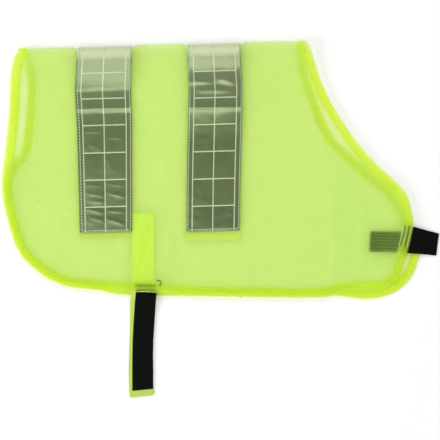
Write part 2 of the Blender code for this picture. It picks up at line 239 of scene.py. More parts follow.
LIGHT_AND_SHADE_FIELDS = {
    "under the pull from the tail": (-163.0, 0.0, 8.0, 12.0, -30, 16.0, 0.7),
    "between the bands": (-68.0, 78.0, 7.0, 8.0, 0, 11.0, -0.6),
    "top of the strap": (-69.0, 3.0, 6.0, 3.0, 0, 6.0, -0.8),
    "beside the front band": (60.0, 82.0, 26.0, 8.0, 0, 18.0, 0.55),
    "neck": (86.0, 102.0, 8.0, 10.0, 0, 14.0, 0.35),
    "lower middle": (68.0, -28.0, 14.0, 10.0, 0, 22.0, -0.5),
    "beside the upright crease": (115.0, 0.0, 7.0, 40.0, 0, 10.0, -1.5),
    "round the chest patch": (149.0, -18.0, 12.0, 18.0, 0, 20.0, -1.6),
    "tight over the patch": (148.5, -20.0, 12.0, 8.0, 0, 4.0, 3.4),
    "beside the rear band": (-150.0, 107.0, 3.0, 7.0, 0, 8.0, -0.6),
    "tail sliver": (-180.0, 100.0, 42.0, 3.0, 86, 6.0, -0.6),
}
FAR_LIGHT_AND_SHADE_LINES = {
    "packing crease": (-160.0, 96.5, 92.0, 100.5, 1.5, 0.6),
    "second packing crease": (-180.0, 50.0, -20.0, 54.0, 1.8, 0.5),
    "wave in the neck": (48.0, 88.0, 104.0, -8.0, 4.0, 0.6),
    "pull from the strap": (-50.0, 4.0, -10.0, -32.0, 2.4, 0.8),
    "wave by the tail": (-168.0, 20.0, -138.0, -28.0, 4.0, -0.6),
}

# The same for the binding, near and far half
BINDING_LIGHT_AND_SHADE = {
    "tail, over the table alone": (-188.0, 95.0, 55.0, 8.0, 90, 14.0, -2.0),
    "neck": (128.0, 76.0, 80.0, 20.0, -58, 14.0, -1.0),
    "chest, over the far half": (167.0, -36.0, 22.0, 8.0, 70, 8.0, 0.9),
}
FAR_BINDING_LIGHT_AND_SHADE = {
    "tail, under the near half": (-178.0, 95.0, 58.0, 12.0, 90, 12.0, 1.3),
    "belly": (-15.0, -67.0, 130.0, 5.0, 0, 10.0, 0.9),
    "neck, under the near half": (120.5, 79.0, 80.0, 20.0, -58, 12.0, 1.2),
    "chest, over the table alone": (176.0, -44.0, 24.0, 8.0, 60, 12.0, -1.2),
}
PRESSED_FLAT = {    # where the binding is ironed wider, as a share of its width
    "tail": (-189.0, 100.0, 46.0, 10.0, 90, 40.0, 0.15),
}
EDGE_CALM = 14.0    # creases fade out towards the bound edge over this
FOLD_CALM = 20.0    # and those of the far half towards the fold over this


def ease(distance, reach):
    """1 at no distance, falling in a half wave of a cosine to 0 at reach."""
    return 0.5 * (1 + np.cos(np.pi * np.clip(distance / reach, 0, 1)))


def ridge(x, y, x0, y0, x1, y1, width, height):
    """A bell curve across the line from one end to the other, times half a sine wave along it."""
    length = math.hypot(x1 - x0, y1 - y0)
    ux, uy = (x1 - x0) / length, (y1 - y0) / length
    along = ((x - x0) * ux + (y - y0) * uy) / length
    across = (y - y0) * ux - (x - x0) * uy
    return height * np.sin(np.pi * np.clip(along, 0, 1)) * np.exp(-((across / width) ** 2))


def swell(x, y, centre_x, centre_y, half_length, half_width, turn, reach, height):
    """Full height inside a turned rectangle, eased to nothing around it."""
    c, s = math.cos(math.radians(turn)), math.sin(math.radians(turn))
    along = np.abs((x - centre_x) * c + (y - centre_y) * s) - half_length
    across = np.abs((y - centre_y) * c - (x - centre_x) * s) - half_width
    return height * ease(np.hypot(np.maximum(along, 0), np.maximum(across, 0)), reach)


def sum_of(shape, table, x, y):
    """The rows of a table, each worked out as a shape over x and y, added together."""
    return sum(shape(x, y, *row) for row in table.values())


print(len(NEAR_CREASES), "creases on the near half and", len(FAR_CREASES), "on the far half")

# %% [markdown]
# ## Folding the flat cut
#
# Everything sewn on the vest lies on one flat cut, so a place is (x, w): x along the back and w across it,
# negative on the far half and positive on the near half. One function folds such a place into the room: a
# half turn of a small circle at the back, and a sheet on each side. The near half comes down from the fold
# in a straight slope that ends at a bend, which makes the tops of the bands shine; a paler colour painted on
# the tape there adds a painted highlight.

# %% Fold the cut along the back
# How far below the fold the slope ends, and how soft its bend is: (x, mm below, softness)
SLOPE = np.array(((-130.0, 36.0, 0.05), (-80.0, 35.0, 0.07), (-30.0, 24.5, 0.35), (18.0, 23.5, 0.35),
                  (78.0, 30.0, 0.4)))


def near_height(x, y):
    """The near half above the table: its open field, higher over the rim, plus its swells and creases."""
    rim = np.hypot(x[..., None] - NEAR_EDGE[:, 0], y[..., None] - NEAR_EDGE[:, 1]).min(axis=-1)
    z = NEAR_HEIGHT + RIM_LIFT * ease(rim - BINDING_WIDTH, RIM_EASE)
    return z + sum_of(swell, SWELLS, x, y) + sum_of(ridge, NEAR_CREASES, x, y) * (1 - ease(rim, EDGE_CALM))


def cloth_middle(x, w):
    """The middle of the cloth at places (x, w): round the fold a half ellipse, and beyond it the distance
    left over runs down each half. The near half blends from the top of that ellipse to its own height, by
    a straight slope whose lower end is rounded as a hyperbola."""
    turn = np.clip(w / FOLD_ARC * math.pi, -math.pi / 2, math.pi / 2)
    beyond = np.maximum(np.abs(w) - FOLD_ARC / 2, 0)
    y = fold_centre(x) + FOLD_NOSE * np.cos(turn) - beyond
    far_z = FAR_HEIGHT + FOLD_RADIUS * (1 + np.sin(turn))
    reach, softness = (np.interp(x, SLOPE[:, 0], SLOPE[:, k]) for k in (1, 2))
    left_over = 1 - beyond / reach
    share = (left_over + np.hypot(left_over, softness)) / (1 + np.hypot(1, softness))
    near_z = far_z * share + near_height(x, y) * (1 - share)
    far_z = far_z + sum_of(ridge, FAR_CREASES, x, y) * (1 - ease(beyond, FOLD_CALM))
    far_z = far_z + sum_of(swell, FAR_SWELLS, x, y)
    return np.stack([x, y, np.where(w > 0, near_z, far_z)], axis=-1)


def painted_light_and_shade(x, w):
    """How much light and shade is painted into the cloth at places (x, w), as a change of its cover."""
    y = cloth_middle(x, w)[..., 1]
    near = sum_of(ridge, LIGHT_AND_SHADE_LINES, x, y) + sum_of(swell, LIGHT_AND_SHADE_FIELDS, x, y)
    return np.where(w > 0, near, sum_of(ridge, FAR_LIGHT_AND_SHADE_LINES, x, y))


def binding_painted_light_and_shade(x, w):
    """The same for the binding."""
    y = cloth_middle(x, w)[..., 1]
    return np.where(w > 0, sum_of(swell, BINDING_LIGHT_AND_SHADE, x, y), sum_of(swell, FAR_BINDING_LIGHT_AND_SHADE, x, y))


def on_cloth(x, w, lift=0.0):
    """The places (x, w), moved out of the cloth by lift along its normal, which is the cross product of the
    cloth's two directions, taken from places half a millimetre from each other."""
    x, w = np.broadcast_arrays(np.asarray(x, float), np.asarray(w, float))
    nudge = 0.25
    along = cloth_middle(x + nudge, w) - cloth_middle(x - nudge, w)
    across = cloth_middle(x, w + nudge) - cloth_middle(x, w - nudge)
    normal = np.cross(across, along)
    normal /= np.linalg.norm(normal, axis=-1, keepdims=True)
    return cloth_middle(x, w) + np.asarray(lift, float)[..., None] * normal


print("top of the fold at", on_cloth([0.0], [0.0]).round(1), "mm")

# %% [markdown]
# ## From arrays to meshes
#
# Two helpers make every piece. A shell is two matching grids, its upper and lower side, joined all round
# their rim. A tube is a closed section carried along a path. Both are closed, and both are turned so that
# their faces point out, which the sign of the enclosed volume tells.

# %% Helpers that make meshes
SHARP = math.radians(50)    # edges that bend more than this catch the light as edges


def quads(number):
    """The four corners of each face of a grid of vertex numbers."""
    return np.stack([number[:-1, :-1], number[:-1, 1:], number[1:, 1:], number[1:, :-1]], -1).reshape(-1, 4)


def volume(corners, faces):
    """The enclosed volume: each triangle with the origin is a tetrahedron, and their signed sum is left."""
    a, b, c, d = (corners[faces[:, k]] for k in range(4))
    return ((a * np.cross(b, c)).sum() + (a * np.cross(c, d)).sum()) / 6


def add_piece(name, corners, faces, flat, material, caps=(), backing=None, backed=()):
    """A mesh from corners in mm, four-sided faces and each corner's place in the flat cut as its UV. The
    faces whose numbers are in backed get the backing material."""
    corners = corners.reshape(-1, 3)
    cubic = volume(corners, faces)
    if cubic < 0:
        faces = faces[:, ::-1]
        caps = [cap[::-1] for cap in caps]
    mesh = bpy.data.meshes.new(name)
    mesh.from_pydata((corners * MM).tolist(), [], faces.tolist() + list(caps))
    layer = mesh.uv_layers.new(name="flat")
    order = np.empty(len(mesh.loops), np.int32)
    mesh.loops.foreach_get("vertex_index", order)
    layer.data.foreach_set("uv", (flat.reshape(-1, 2)[order] * MM).astype(np.float32).ravel())
    mesh.shade_smooth()
    mesh.set_sharp_from_angle(angle=SHARP)
    mesh.materials.append(material)
    if backing:
        mesh.materials.append(backing)
        side = np.zeros(len(mesh.polygons), np.int32)
        side[backed] = 1
        mesh.polygons.foreach_set("material_index", side)
    piece = bpy.data.objects.new(name, mesh)
    bpy.context.scene.collection.objects.link(piece)
    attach(piece, "root")
    print(f"{name}: {len(faces)} faces, {abs(cubic) / 1000:.2f} cubic cm")
    return piece


def shell_faces(rows, columns):
    """The faces of a closed shell: the upper grid, the lower one turned over, and a rim between them."""
    number = np.arange(rows * columns).reshape(rows, columns)
    rim = np.concatenate([number[0], number[1:, -1], number[-1, -2::-1], number[-2:0:-1, 0]])
    beyond = np.roll(rim, -1)
    below = rows * columns
    sides = np.stack([beyond, rim, rim + below, beyond + below], -1)
    return np.vstack([quads(number), quads(number)[:, ::-1] + below, sides])


def add_shell(name, upper, lower, flat, material, backing=None):
    """A shell from two matching grids of corners, with the backing material on its lower side."""
    rows, columns = upper.shape[:2]
    upper_count = (rows - 1) * (columns - 1)
    corners = np.concatenate([upper.reshape(-1, 3), lower.reshape(-1, 3)])
    return add_piece(name, corners, shell_faces(rows, columns), np.concatenate([flat, flat]), material,
                     backing=backing, backed=slice(upper_count, 2 * upper_count))


def stations(start, end, step, rim=0.0):
    """Evenly spaced numbers from start to end, with one more a rim's width inside each end."""
    count = max(2, round(abs(end - start) / step) + 1)
    inner = rim * np.sign(end - start)
    between = np.linspace(start + inner, end - inner, count)
    return np.concatenate([[start], between, [end]]) if rim else between


# %% [markdown]
# ## The grid of the cut
#
# The cut has five stretches from the tail to the neck, with the edges of both bands between them, and rows
# from one belly edge over the fold to the other. Below the bands, the rows turn into the belly edge, so the
# grid ends exactly on the cut's own line, just inside the binding.

# %% Lay a grid over the cut
# The edges of the two bands down the vest: (y, rear left, rear right, front left, front right)
BAND_EDGES = np.array((
    (-11.3, -126.5, -79.7, -30.6, 17.1),
    (35.5, -127.7, -79.7, -30.2, 17.9),
    (85.9, -129.2, -79.7, -29.3, 19.2),
    (116.5, -131.1, -80.7, -28.6, 19.7),
    (155.2, -128.3, -79.5, -29.9, 17.5),
))
BOUND_INSET = 0.7                      # from the finished edge in to the cloth's own edge
STRETCH_COLUMNS = (34, 22, 24, 22, 76)
FIELD_ROWS = 90
LOW_ROWS = 24
FIELD_END = -11.3                      # y of the last straight row
FIRST_GAP = 1.2                        # from the fold's lowest place to the first straight row
DIP_SHARE, DIP_EASE = 0.9, 12.0        # how far the rows follow the fold's dips, and over which distance


def half_grid(edges):
    """One half as arrays x and y: straight rows down to the bands' ends, and below them rows that are a
    growing share of the way to the belly edge, with their ends moved to the round corners."""
    tail, belly, neck = edges
    steps = [k + np.arange(n) / n for k, n in enumerate(STRETCH_COLUMNS)]
    columns = np.concatenate(steps + [[len(STRETCH_COLUMNS)]])
    stops = np.arange(len(STRETCH_COLUMNS) + 1)

    def row(y, left, right):
        places = [np.interp(y, BAND_EDGES[:, 0], BAND_EDGES[:, k]) for k in range(1, 5)]
        return np.interp(columns, stops, [left, *places, right])

    def tail_x(y):
        return np.interp(y, tail[::-1, 1], tail[::-1, 0])

    def neck_x(y):
        return np.interp(y, neck[:, 1], neck[:, 0])

    top = row(BAND_EDGES[-1, 0], tail[0, 0], neck[-1, 0])
    xs, ys = [top], [fold_centre(top)]
    lowest_top = ys[0].min() - FIRST_GAP
    for y in np.linspace(lowest_top, FIELD_END, FIELD_ROWS):
        xs.append(row(y, tail_x(y), neck_x(y)))
        dip = (ys[0] - ys[0].min()) * ease(lowest_top - y, DIP_EASE) * DIP_SHARE
        ys.append(np.full(len(columns), y) + dip)

    last_x, last_y = xs[-1], ys[-1]
    low_x = row(FIELD_END, belly[0, 0], belly[-1, 0])
    low_y = np.interp(low_x, belly[:, 0], belly[:, 1])
    tail_pull = np.clip(1 - columns, 0, 1)
    neck_pull = np.clip(columns - stops[-2], 0, 1)
    for share in np.arange(1, LOW_ROWS + 1) / LOW_ROWS:
        x = last_x + share * (low_x - last_x)
        y = last_y + share * (low_y - last_y)
        x = x + tail_pull * (tail_x(y[0]) - x[0]) + neck_pull * (neck_x(y[-1]) - x[-1])
        xs.append(x)
        ys.append(y)
    return np.array(xs), np.array(ys)


def flat_cut():
    """The whole cut as arrays x and w: rows from the far belly edge over the fold to the near one."""
    near_x, near_y = half_grid(outline(NEAR_TAIL, NEAR_BELLY, NEAR_NECK, BOUND_INSET))
    far_x, far_y = half_grid(outline(FAR_TAIL, FAR_BELLY, FAR_NECK, BOUND_INSET))
    near_w, far_w = over_back(near_x, near_y), -over_back(far_x, far_y)
    share = np.arange(1, FOLD_STEPS)[:, None] / FOLD_STEPS
    fold_x = far_x[0] + share * (near_x[0] - far_x[0])
    fold_w = -FOLD_ARC / 2 + share * np.full(len(near_x[0]), FOLD_ARC)
    return np.vstack([far_x[::-1], fold_x, near_x]), np.vstack([far_w[::-1], fold_w, near_w])


cut_x, cut_w = flat_cut()

# %% [markdown]
# ## Materials
#
# A finish starts from what the real material is. Colours are written as sRGB hex values, as a colour picker
# shows them, and one function turns them to the linear numbers that a shader works with. Another adds a
# node with its settings and links, and a third ends each solid material, because they all end alike.


# %% Helpers that make materials
def linear(hex_colour):
    """An sRGB hex colour as linear RGBA: each channel c becomes ((c + 0.055) / 1.055) to the power 2.4, or
    c / 12.92 where it is very dark."""
    c = np.array([int(hex_colour[k : k + 2], 16) for k in (1, 3, 5)]) / 255
    return (*np.where(c > 0.04045, ((c + 0.055) / 1.055) ** 2.4, c / 12.92), 1.0)


def new_material(name):
    """An empty node material."""
    material = bpy.data.materials.new(name)
    material.use_nodes = True
    material.node_tree.nodes.clear()
    return material


def add_node(material, kind, inputs=(), ramp=(), **settings):
    """Adds a node. Each input, by name or number, gets a value, or a link where the value is a socket. The
    stops of a colour ramp are given as (position, hex colour)."""
    node = material.node_tree.nodes.new("ShaderNode" + kind)
    for setting, value in settings.items():
        setattr(node, setting, value)
    for k, (position, hex_colour) in enumerate(ramp):
        node.color_ramp.elements[k].position = position
        node.color_ramp.elements[k].color = linear(hex_colour)
    for socket, value in dict(inputs).items():
        if isinstance(value, bpy.types.NodeSocket):
            material.node_tree.links.new(value, node.inputs[socket])
        else:
            node.inputs[socket].default_value = value
    return node


def finish_solid(material, height, depth, strength, inputs, invert=False):
    """The last nodes of a solid material: a height map raises the surface by up to depth mm, inputs go to a
    principled shader, and the output node ends the tree."""
    bump = add_node(material, "Bump", {"Height": height, "Distance": depth * MM, "Strength": strength},
                    invert=invert)
    solid = add_node(material, "BsdfPrincipled", {**inputs, "Normal": bump.outputs["Normal"]})
    add_node(material, "OutputMaterial", {"Surface": solid.outputs[0]})
    return material


def bands_scale(pitch):
    """The Scale of a Wave texture whose bands lie a pitch in mm from each other, on coordinates in metres:
    it draws one band for each 2 pi of 20 times the scaled coordinate."""
    return 2 * math.pi / 20 / (pitch * MM)


def weave(material, pitch, place):
    """A plain weave on the given coordinates: threads run one way in every second square of a
    checkerboard and the other way in the rest. Returns the thread height from 0 to 1."""
    across, along = (
        add_node(material, "TexWave", {"Vector": place, "Scale": bands_scale(pitch), "Distortion": 0.6,
                                       "Detail": 1.0, "Detail Scale": 0.4},
                 bands_direction=direction).outputs["Fac"]
        for direction in "XY"
    )
    squares = add_node(material, "TexChecker", {"Vector": place, "Scale": 1 / (pitch * MM)})
    return add_node(material, "Mix", {0: squares.outputs["Fac"], 2: across, 3: along}).outputs[0]


print("yellow #CCEC7A is", np.round(linear("#CCEC7A"), 3), "in linear light")

# %% [markdown]
# ## The polyester
#
# High-visibility polyester is warp-knitted or woven from bright filament yarn, dyed with a fluorescent
# yellow, and so thin that whatever lies under it shows. To the eye that is three things at once: some light
# comes straight through between the threads, some is spread out behind, and some comes back yellow. Two
# mixes of three shaders give that, for each side of the shell.


# %% Yellow cloth
def yellow_cloth(name, pitch, tones, cover, spread, gap_tint, glow_tint):
    """Dyed filament cloth in two mixes: the share called cover is yarn and the rest is gaps, which let
    light straight through. Of the light that meets yarn, the share called spread goes on behind the cloth
    in all directions, and the rest comes back in the dye's colour, with a soft sheen. The cover varies a
    little with the threads and in soft patches, and it is made smaller or larger where light and shade
    are painted onto the cloth."""
    material = new_material(name)
    place = add_node(material, "UVMap", uv_map="flat").outputs["UV"]
    threads = weave(material, pitch, place)
    streaks = add_node(material, "Mapping", {"Vector": place, "Scale": (40.0, 900.0, 1.0)})
    slubs = add_node(material, "TexNoise", {"Vector": streaks.outputs[0], "Scale": 1.0, "Detail": 2.0})
    tone = add_node(material, "ValToRGB", {"Fac": slubs.outputs["Fac"]}, zip((0.35, 0.65), tones))
    bump = add_node(material, "Bump", {"Height": threads, "Distance": 0.00006, "Strength": 0.25})
    dyed = add_node(material, "BsdfPrincipled", {
        "Base Color": tone.outputs["Color"], "Roughness": 0.6, "Specular IOR Level": 0.08,
        "Sheen Weight": 0.08, "Sheen Roughness": 0.4, "Sheen Tint": linear("#D6F27A"),
        "Normal": bump.outputs["Normal"],
    })
    glow = add_node(material, "BsdfTranslucent", {"Color": linear(glow_tint),
                                                  "Normal": bump.outputs["Normal"]})
    gaps = add_node(material, "BsdfTransparent", {"Color": linear(gap_tint)})
    yarn = add_node(material, "MixShader", {"Fac": spread, 1: dyed.outputs[0], 2: glow.outputs[0]})
    patches = add_node(material, "TexNoise", {"Vector": place, "Scale": 14.0, "Detail": 1.5})
    # painted light and shade, read from the corners, makes the cover smaller or larger
    painted_light_node = add_node(material, "Attribute", attribute_name="painted_light_and_shade")
    cover_here = add_node(material, "MapRange", {"Value": threads, "To Min": cover * 0.94,
                                                 "To Max": cover * 1.06})
    causes = (    # a node, its range, and what the cover is multiplied by at both ends of that range
        (patches, 0.3, 0.7, 0.95, 1.05),
        (painted_light_node, -2.0, 2.0, 1.44, 0.56),
    )
    for cause, low, high, at_low, at_high in causes:
        factor = add_node(material, "MapRange", {"Value": cause.outputs["Fac"], "From Min": low,
                                                 "From Max": high, "To Min": at_low, "To Max": at_high})
        cover_here = add_node(material, "Math", {0: cover_here.outputs[0], 1: factor.outputs[0]},
                              operation="MULTIPLY")
    whole = add_node(material, "MixShader", {"Fac": cover_here.outputs[0], 1: gaps.outputs[0],
                                             2: yarn.outputs[0]})
    add_node(material, "OutputMaterial", {"Surface": whole.outputs[0]})
    return material


# The yarns are 0.35 mm apart, drawn at 0.9 mm so that the weave shows at all
polyester = yellow_cloth("woven_yellow_polyester", pitch=0.9, tones=("#C4FA6E", "#CFFF78"), cover=0.384,
                         spread=0.708, gap_tint="#FCFCED", glow_tint="#FCFCF9")

# %% The body of the vest
cloth = add_shell(
    "vest_body_polyester", on_cloth(cut_x, cut_w, np.full(cut_x.shape, CLOTH / 2)),
    on_cloth(cut_x, cut_w, np.full(cut_x.shape, -CLOTH / 2)), np.stack([cut_x, cut_w], -1),
    polyester,
)
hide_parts("vest_cloth")


def keep_painted_light_and_shade(piece, pull):
    """Writes the light and shade painted at each corner, for the material to read."""
    piece.data.attributes.new("painted_light_and_shade", "FLOAT", "POINT").data.foreach_set("value", pull.astype(np.float32))
    print(f"{piece.name}: yarns pulled from {pull.min():.2f} to {pull.max():.2f}")


keep_painted_light_and_shade(cloth, np.tile(painted_light_and_shade(cut_x, cut_w).ravel(), 2))

# %% [markdown]
# ## The binding
#
# Bias tape is folded over the raw edge and sewn through, so its section is a flat U: a round nose outside
# the edge, puffed legs, a groove where the stitches pull it down, and a free lip. That section is carried
# round the whole cut. The stitches pucker it a little, unevenly.

# %% Carry the binding round the edge
BINDING_SECTION = (    # half of the U, from its nose to its lip: (mm inside the finished edge, lift)
    (0.0, 0.0), (0.08, 0.38), (0.4, 0.68), (1.0, 0.86), (2.0, 0.94), (3.4, 0.93), (4.8, 0.84), (5.9, 0.68),
    (6.6, 0.56), (7.3, 0.6), (7.8, 0.52), (8.0, 0.38), (7.7, 0.24), (6.0, 0.22), (3.0, 0.22), (1.0, 0.2),
)
EDGE_STEP = 1.0
DIRECTION_REACH = 3.0                 # the edge's direction is taken from places this far to each side
PUCKER_PITCH, PUCKER_HEIGHT = 5.3, 0.07
PUCKER_DRIFT, DRIFT_LENGTH = 2.5, 31.0    # how the puckers wander, in radians and mm


def edge_path(step):
    """The finished edge all round the flat cut, as evenly spaced places (x, w), and the directions out of
    it: each is the path's own direction, smoothed over its neighbours and turned a quarter."""
    near = np.vstack(outline(NEAR_TAIL, NEAR_BELLY, NEAR_NECK))
    far = np.vstack(outline(FAR_TAIL, FAR_BELLY, FAR_NECK))[::-1]
    corners = np.vstack([np.stack([near[:, 0], over_back(*near.T)], 1),
                         np.stack([far[:, 0], -over_back(*far.T)], 1)])
    corners = np.vstack([corners, corners[:1]])
    run = run_along(corners)
    even = np.arange(round(run[-1] / step)) * run[-1] / round(run[-1] / step)
    path = np.stack([np.interp(even, run, corners[:, k]) for k in (0, 1)], 1)
    reach = max(1, round(DIRECTION_REACH / step))
    ahead = np.roll(path, -reach, axis=0) - np.roll(path, reach, axis=0)
    ahead /= np.linalg.norm(ahead, axis=1, keepdims=True)
    return path, np.stack([-ahead[:, 1], ahead[:, 0]], 1), even


# Cut on the bias from a finer cloth of the same dye, and folded: its layers add up to a strong yellow
bias_tape = yellow_cloth("folded_yellow_bias_tape", pitch=0.7, tones=("#DAFF50", "#E4FF5A"), cover=0.32,
                         spread=0.725, gap_tint="#FEFEE2", glow_tint="#FEFEE4")
edge, outward, edge_run = edge_path(EDGE_STEP)
half = np.array(BINDING_SECTION)
section = np.vstack([half, half[:0:-1] * (1, -1)])
wander = PUCKER_DRIFT * np.sin(edge_run / DRIFT_LENGTH)
pucker = 1 + PUCKER_HEIGHT * np.sin(2 * math.pi * edge_run / PUCKER_PITCH + wander)
edge_y = over_back(*edge.T)
pressed = 1 + sum_of(swell, PRESSED_FLAT, edge[:, 0], edge_y) * (edge[:, 1] > 0)
bound = edge[:, None, :] - section[None, :, :1] * (pressed[:, None] * outward)[:, None, :]
binding_lift = section[None, :, 1] * pucker[:, None]
number = np.arange(len(edge) * len(section)).reshape(len(edge), -1)
number = np.vstack([number, number[:1]])
number = np.hstack([number, number[:, :1]])
binding = add_piece("edge_bias_binding", on_cloth(bound[..., 0], bound[..., 1], binding_lift),
                    quads(number), bound, bias_tape)
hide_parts("edge_binding")
keep_painted_light_and_shade(binding, binding_painted_light_and_shade(bound[..., 0].ravel(), bound[..., 1].ravel()))

# %% [markdown]
# ## The reflective bands
#
# Reflective PVC tape is a clear glossy film over moulded prisms. The film is welded to its backing along
# pale lines, which leave two columns of puffed cells between two plain margins. It is stiffer than the
# cloth, so it shows each ripple as a long highlight. The film is one surface over the share u across the
# band and the distance w over the back: puffs between the welds, listed ripples, and a sharp crest where
# the vest was folded.

# %% Surfaces of the bands
BANDS = {    # columns of BAND_EDGES, near and far end (y), mm from the fold to each weld across
    "rear_band": ((1, 2), -11.9, -16.0, (24.2, 47.2, 71.3, 96.1, 120.5, 144.8)),
    "front_band": ((3, 4), -10.7, -19.0, (25.1, 49.1, 73.1, 97.4, 122.1, 146.4)),
}
WELDS_ACROSS = (0.105, 0.493, 0.896)     # shares of the band's width
WELD_WIDTH = 1.0
LAST_CELL = 24.3                         # length of the cell beyond the last weld
PUFF = 0.10
UNEVENNESS = 0.016
FAR_SHIFT, SHIFT_EASE = 0.7, 30.0        # the far ends lie a little nearer to the neck

RIPPLES = {    # (x0, y0, x1, y1, width, height), in the near half of the cloth
    "crest of the packing crease, rear": (-146.0, 100.5, -64.0, 101.1, 1.1, 0.2),
    "crest of the packing crease, front": (-48.0, 100.6, 36.0, 101.2, 0.9, 0.14),
    "rear, above the first whole cell": (-125.5, 79.9, -104.5, 78.9, 1.3, 0.15),
    "rear, beside it": (-103.5, 74.4, -85.0, 72.2, 1.6, 0.12),
    "rear, slanting": (-121.0, 71.0, -105.0, 61.0, 2.0, 0.11),
    "rear, fifth cell, upper left": (-123.0, 31.4, -104.0, 30.4, 1.2, 0.11),
    "rear, fifth cell, upper right": (-104.0, 32.2, -84.0, 29.8, 1.2, 0.10),
    "rear, fifth cell, lower left": (-122.0, 24.4, -104.0, 20.6, 1.4, 0.14),
    "rear, fifth cell, lower right": (-103.4, 24.4, -84.0, 19.2, 1.3, 0.17),
    "rear, fifth cell, low": (-118.5, 16.8, -104.0, 15.6, 1.2, 0.11),
    "rear, last cell, upper left": (-122.0, 10.8, -104.0, 5.2, 1.4, 0.17),
    "rear, last cell, upper right": (-103.6, 8.4, -84.0, 5.6, 1.2, 0.14),
    "rear, last cell, lower left": (-118.0, 2.6, -104.0, -2.0, 1.3, 0.14),
    "rear, last cell, lower right": (-103.4, 0.8, -85.0, -5.6, 1.4, 0.17),
    "rear, foot of the crest": (-144.0, 99.0, -66.0, 99.6, 2.6, 0.24),
    "front, foot of the crest": (-46.0, 99.0, 35.0, 99.6, 5.4, 0.47),
    "front, top cell, left": (-34.0, 125.6, 0.0, 124.2, 3.6, 0.66),
    "front, top cell, right": (-8.0, 130.0, 19.0, 121.0, 4.4, 0.84),
    "front, top cell, low": (-28.0, 117.4, 16.0, 115.8, 3.0, 0.42),
    "rear, fourth cell, right": (-103.0, 56.0, -97.0, 42.0, 2.2, 0.12),
    "front, third cell, right": (-2.0, 70.0, 10.0, 60.0, 2.2, 0.1),
    "front, third cell": (-25.0, 71.2, -5.0, 73.6, 1.5, 0.07),
    "front, last cell": (4.5, 6.4, 13.0, 2.6, 1.3, 0.09),
    "front, upright in the fifth cell": (-20.0, 36.0, -16.0, 18.0, 1.6, 0.06),
}
FAR_RIPPLES = {
    "rear crease": (-140.0, 97.5, -70.0, 98.5, 1.0, 0.1),
    "front crease": (-42.0, 98.5, 31.0, 99.0, 1.0, 0.1),
    "rear, low": (-124.0, 12.0, -86.0, 4.0, 1.8, 0.12),
    "front, low": (-24.0, 30.0, 10.0, 24.0, 1.8, 0.12),
}


def band_middle(band):
    """x of a band's middle at the fold."""
    left, right = BANDS[band][0]
    return BAND_EDGES[-1, left] / 2 + BAND_EDGES[-1, right] / 2


def band_extent(band):
    """A band's width, and how far over the back its near and its far end lie."""
    edges, near_y, far_y, _ = BANDS[band]
    middle = band_middle(band)
    return np.ptp(BAND_EDGES[1, list(edges)]), over_back(middle, near_y), -over_back(middle, far_y)


def band_place(band, u, w):
    """x and y of the place a share u across a band, at w over the back."""
    beyond = np.maximum(np.abs(w) - FOLD_ARC / 2, 0)
    y = fold_centre(band_middle(band)) - beyond
    x0, x1 = (np.interp(y, BAND_EDGES[:, 0], BAND_EDGES[:, k]) for k in BANDS[band][0])
    aside = FAR_SHIFT * (1 - ease(beyond, SHIFT_EASE)) * (w < 0)
    return x0 + u * (x1 - x0) + aside, y


def film_relief(band, u, w):
    """The film's own height: in each cell the root of a sine wave across and along, plus the ripples and a
    slight unevenness from a product of sine waves."""
    rows = BANDS[band][3]
    a, b, c = WELDS_ACROSS
    across = np.where(u < b, (u - a) / (b - a), (u - b) / (c - b))
    along = np.interp(np.abs(w), (0.0, *rows, rows[-1] + LAST_CELL), range(len(rows) + 2))
    inside = (u > a) & (u < c)
    puff = PUFF * np.sqrt(np.abs(np.sin(np.pi * across) * np.sin(np.pi * along))) * inside
    x, y = band_place(band, u, w)
    near = sum_of(ridge, RIPPLES, x, y)
    far = sum_of(ridge, FAR_RIPPLES, x, y)
    uneven = UNEVENNESS * np.sin(0.62 * w + 1.9 * np.sin(0.14 * x)) * np.sin(0.13 * x + 0.05 * w)
    return puff + uneven + np.where(w > 0, near, far)


def on_film(band, u, w, lift=0.0):
    """Places on a band's film, moved out by lift."""
    x, _ = band_place(band, u, w)
    return on_cloth(x, w, TAPE_LIFT + TAPE / 2 + film_relief(band, u, w) + lift)


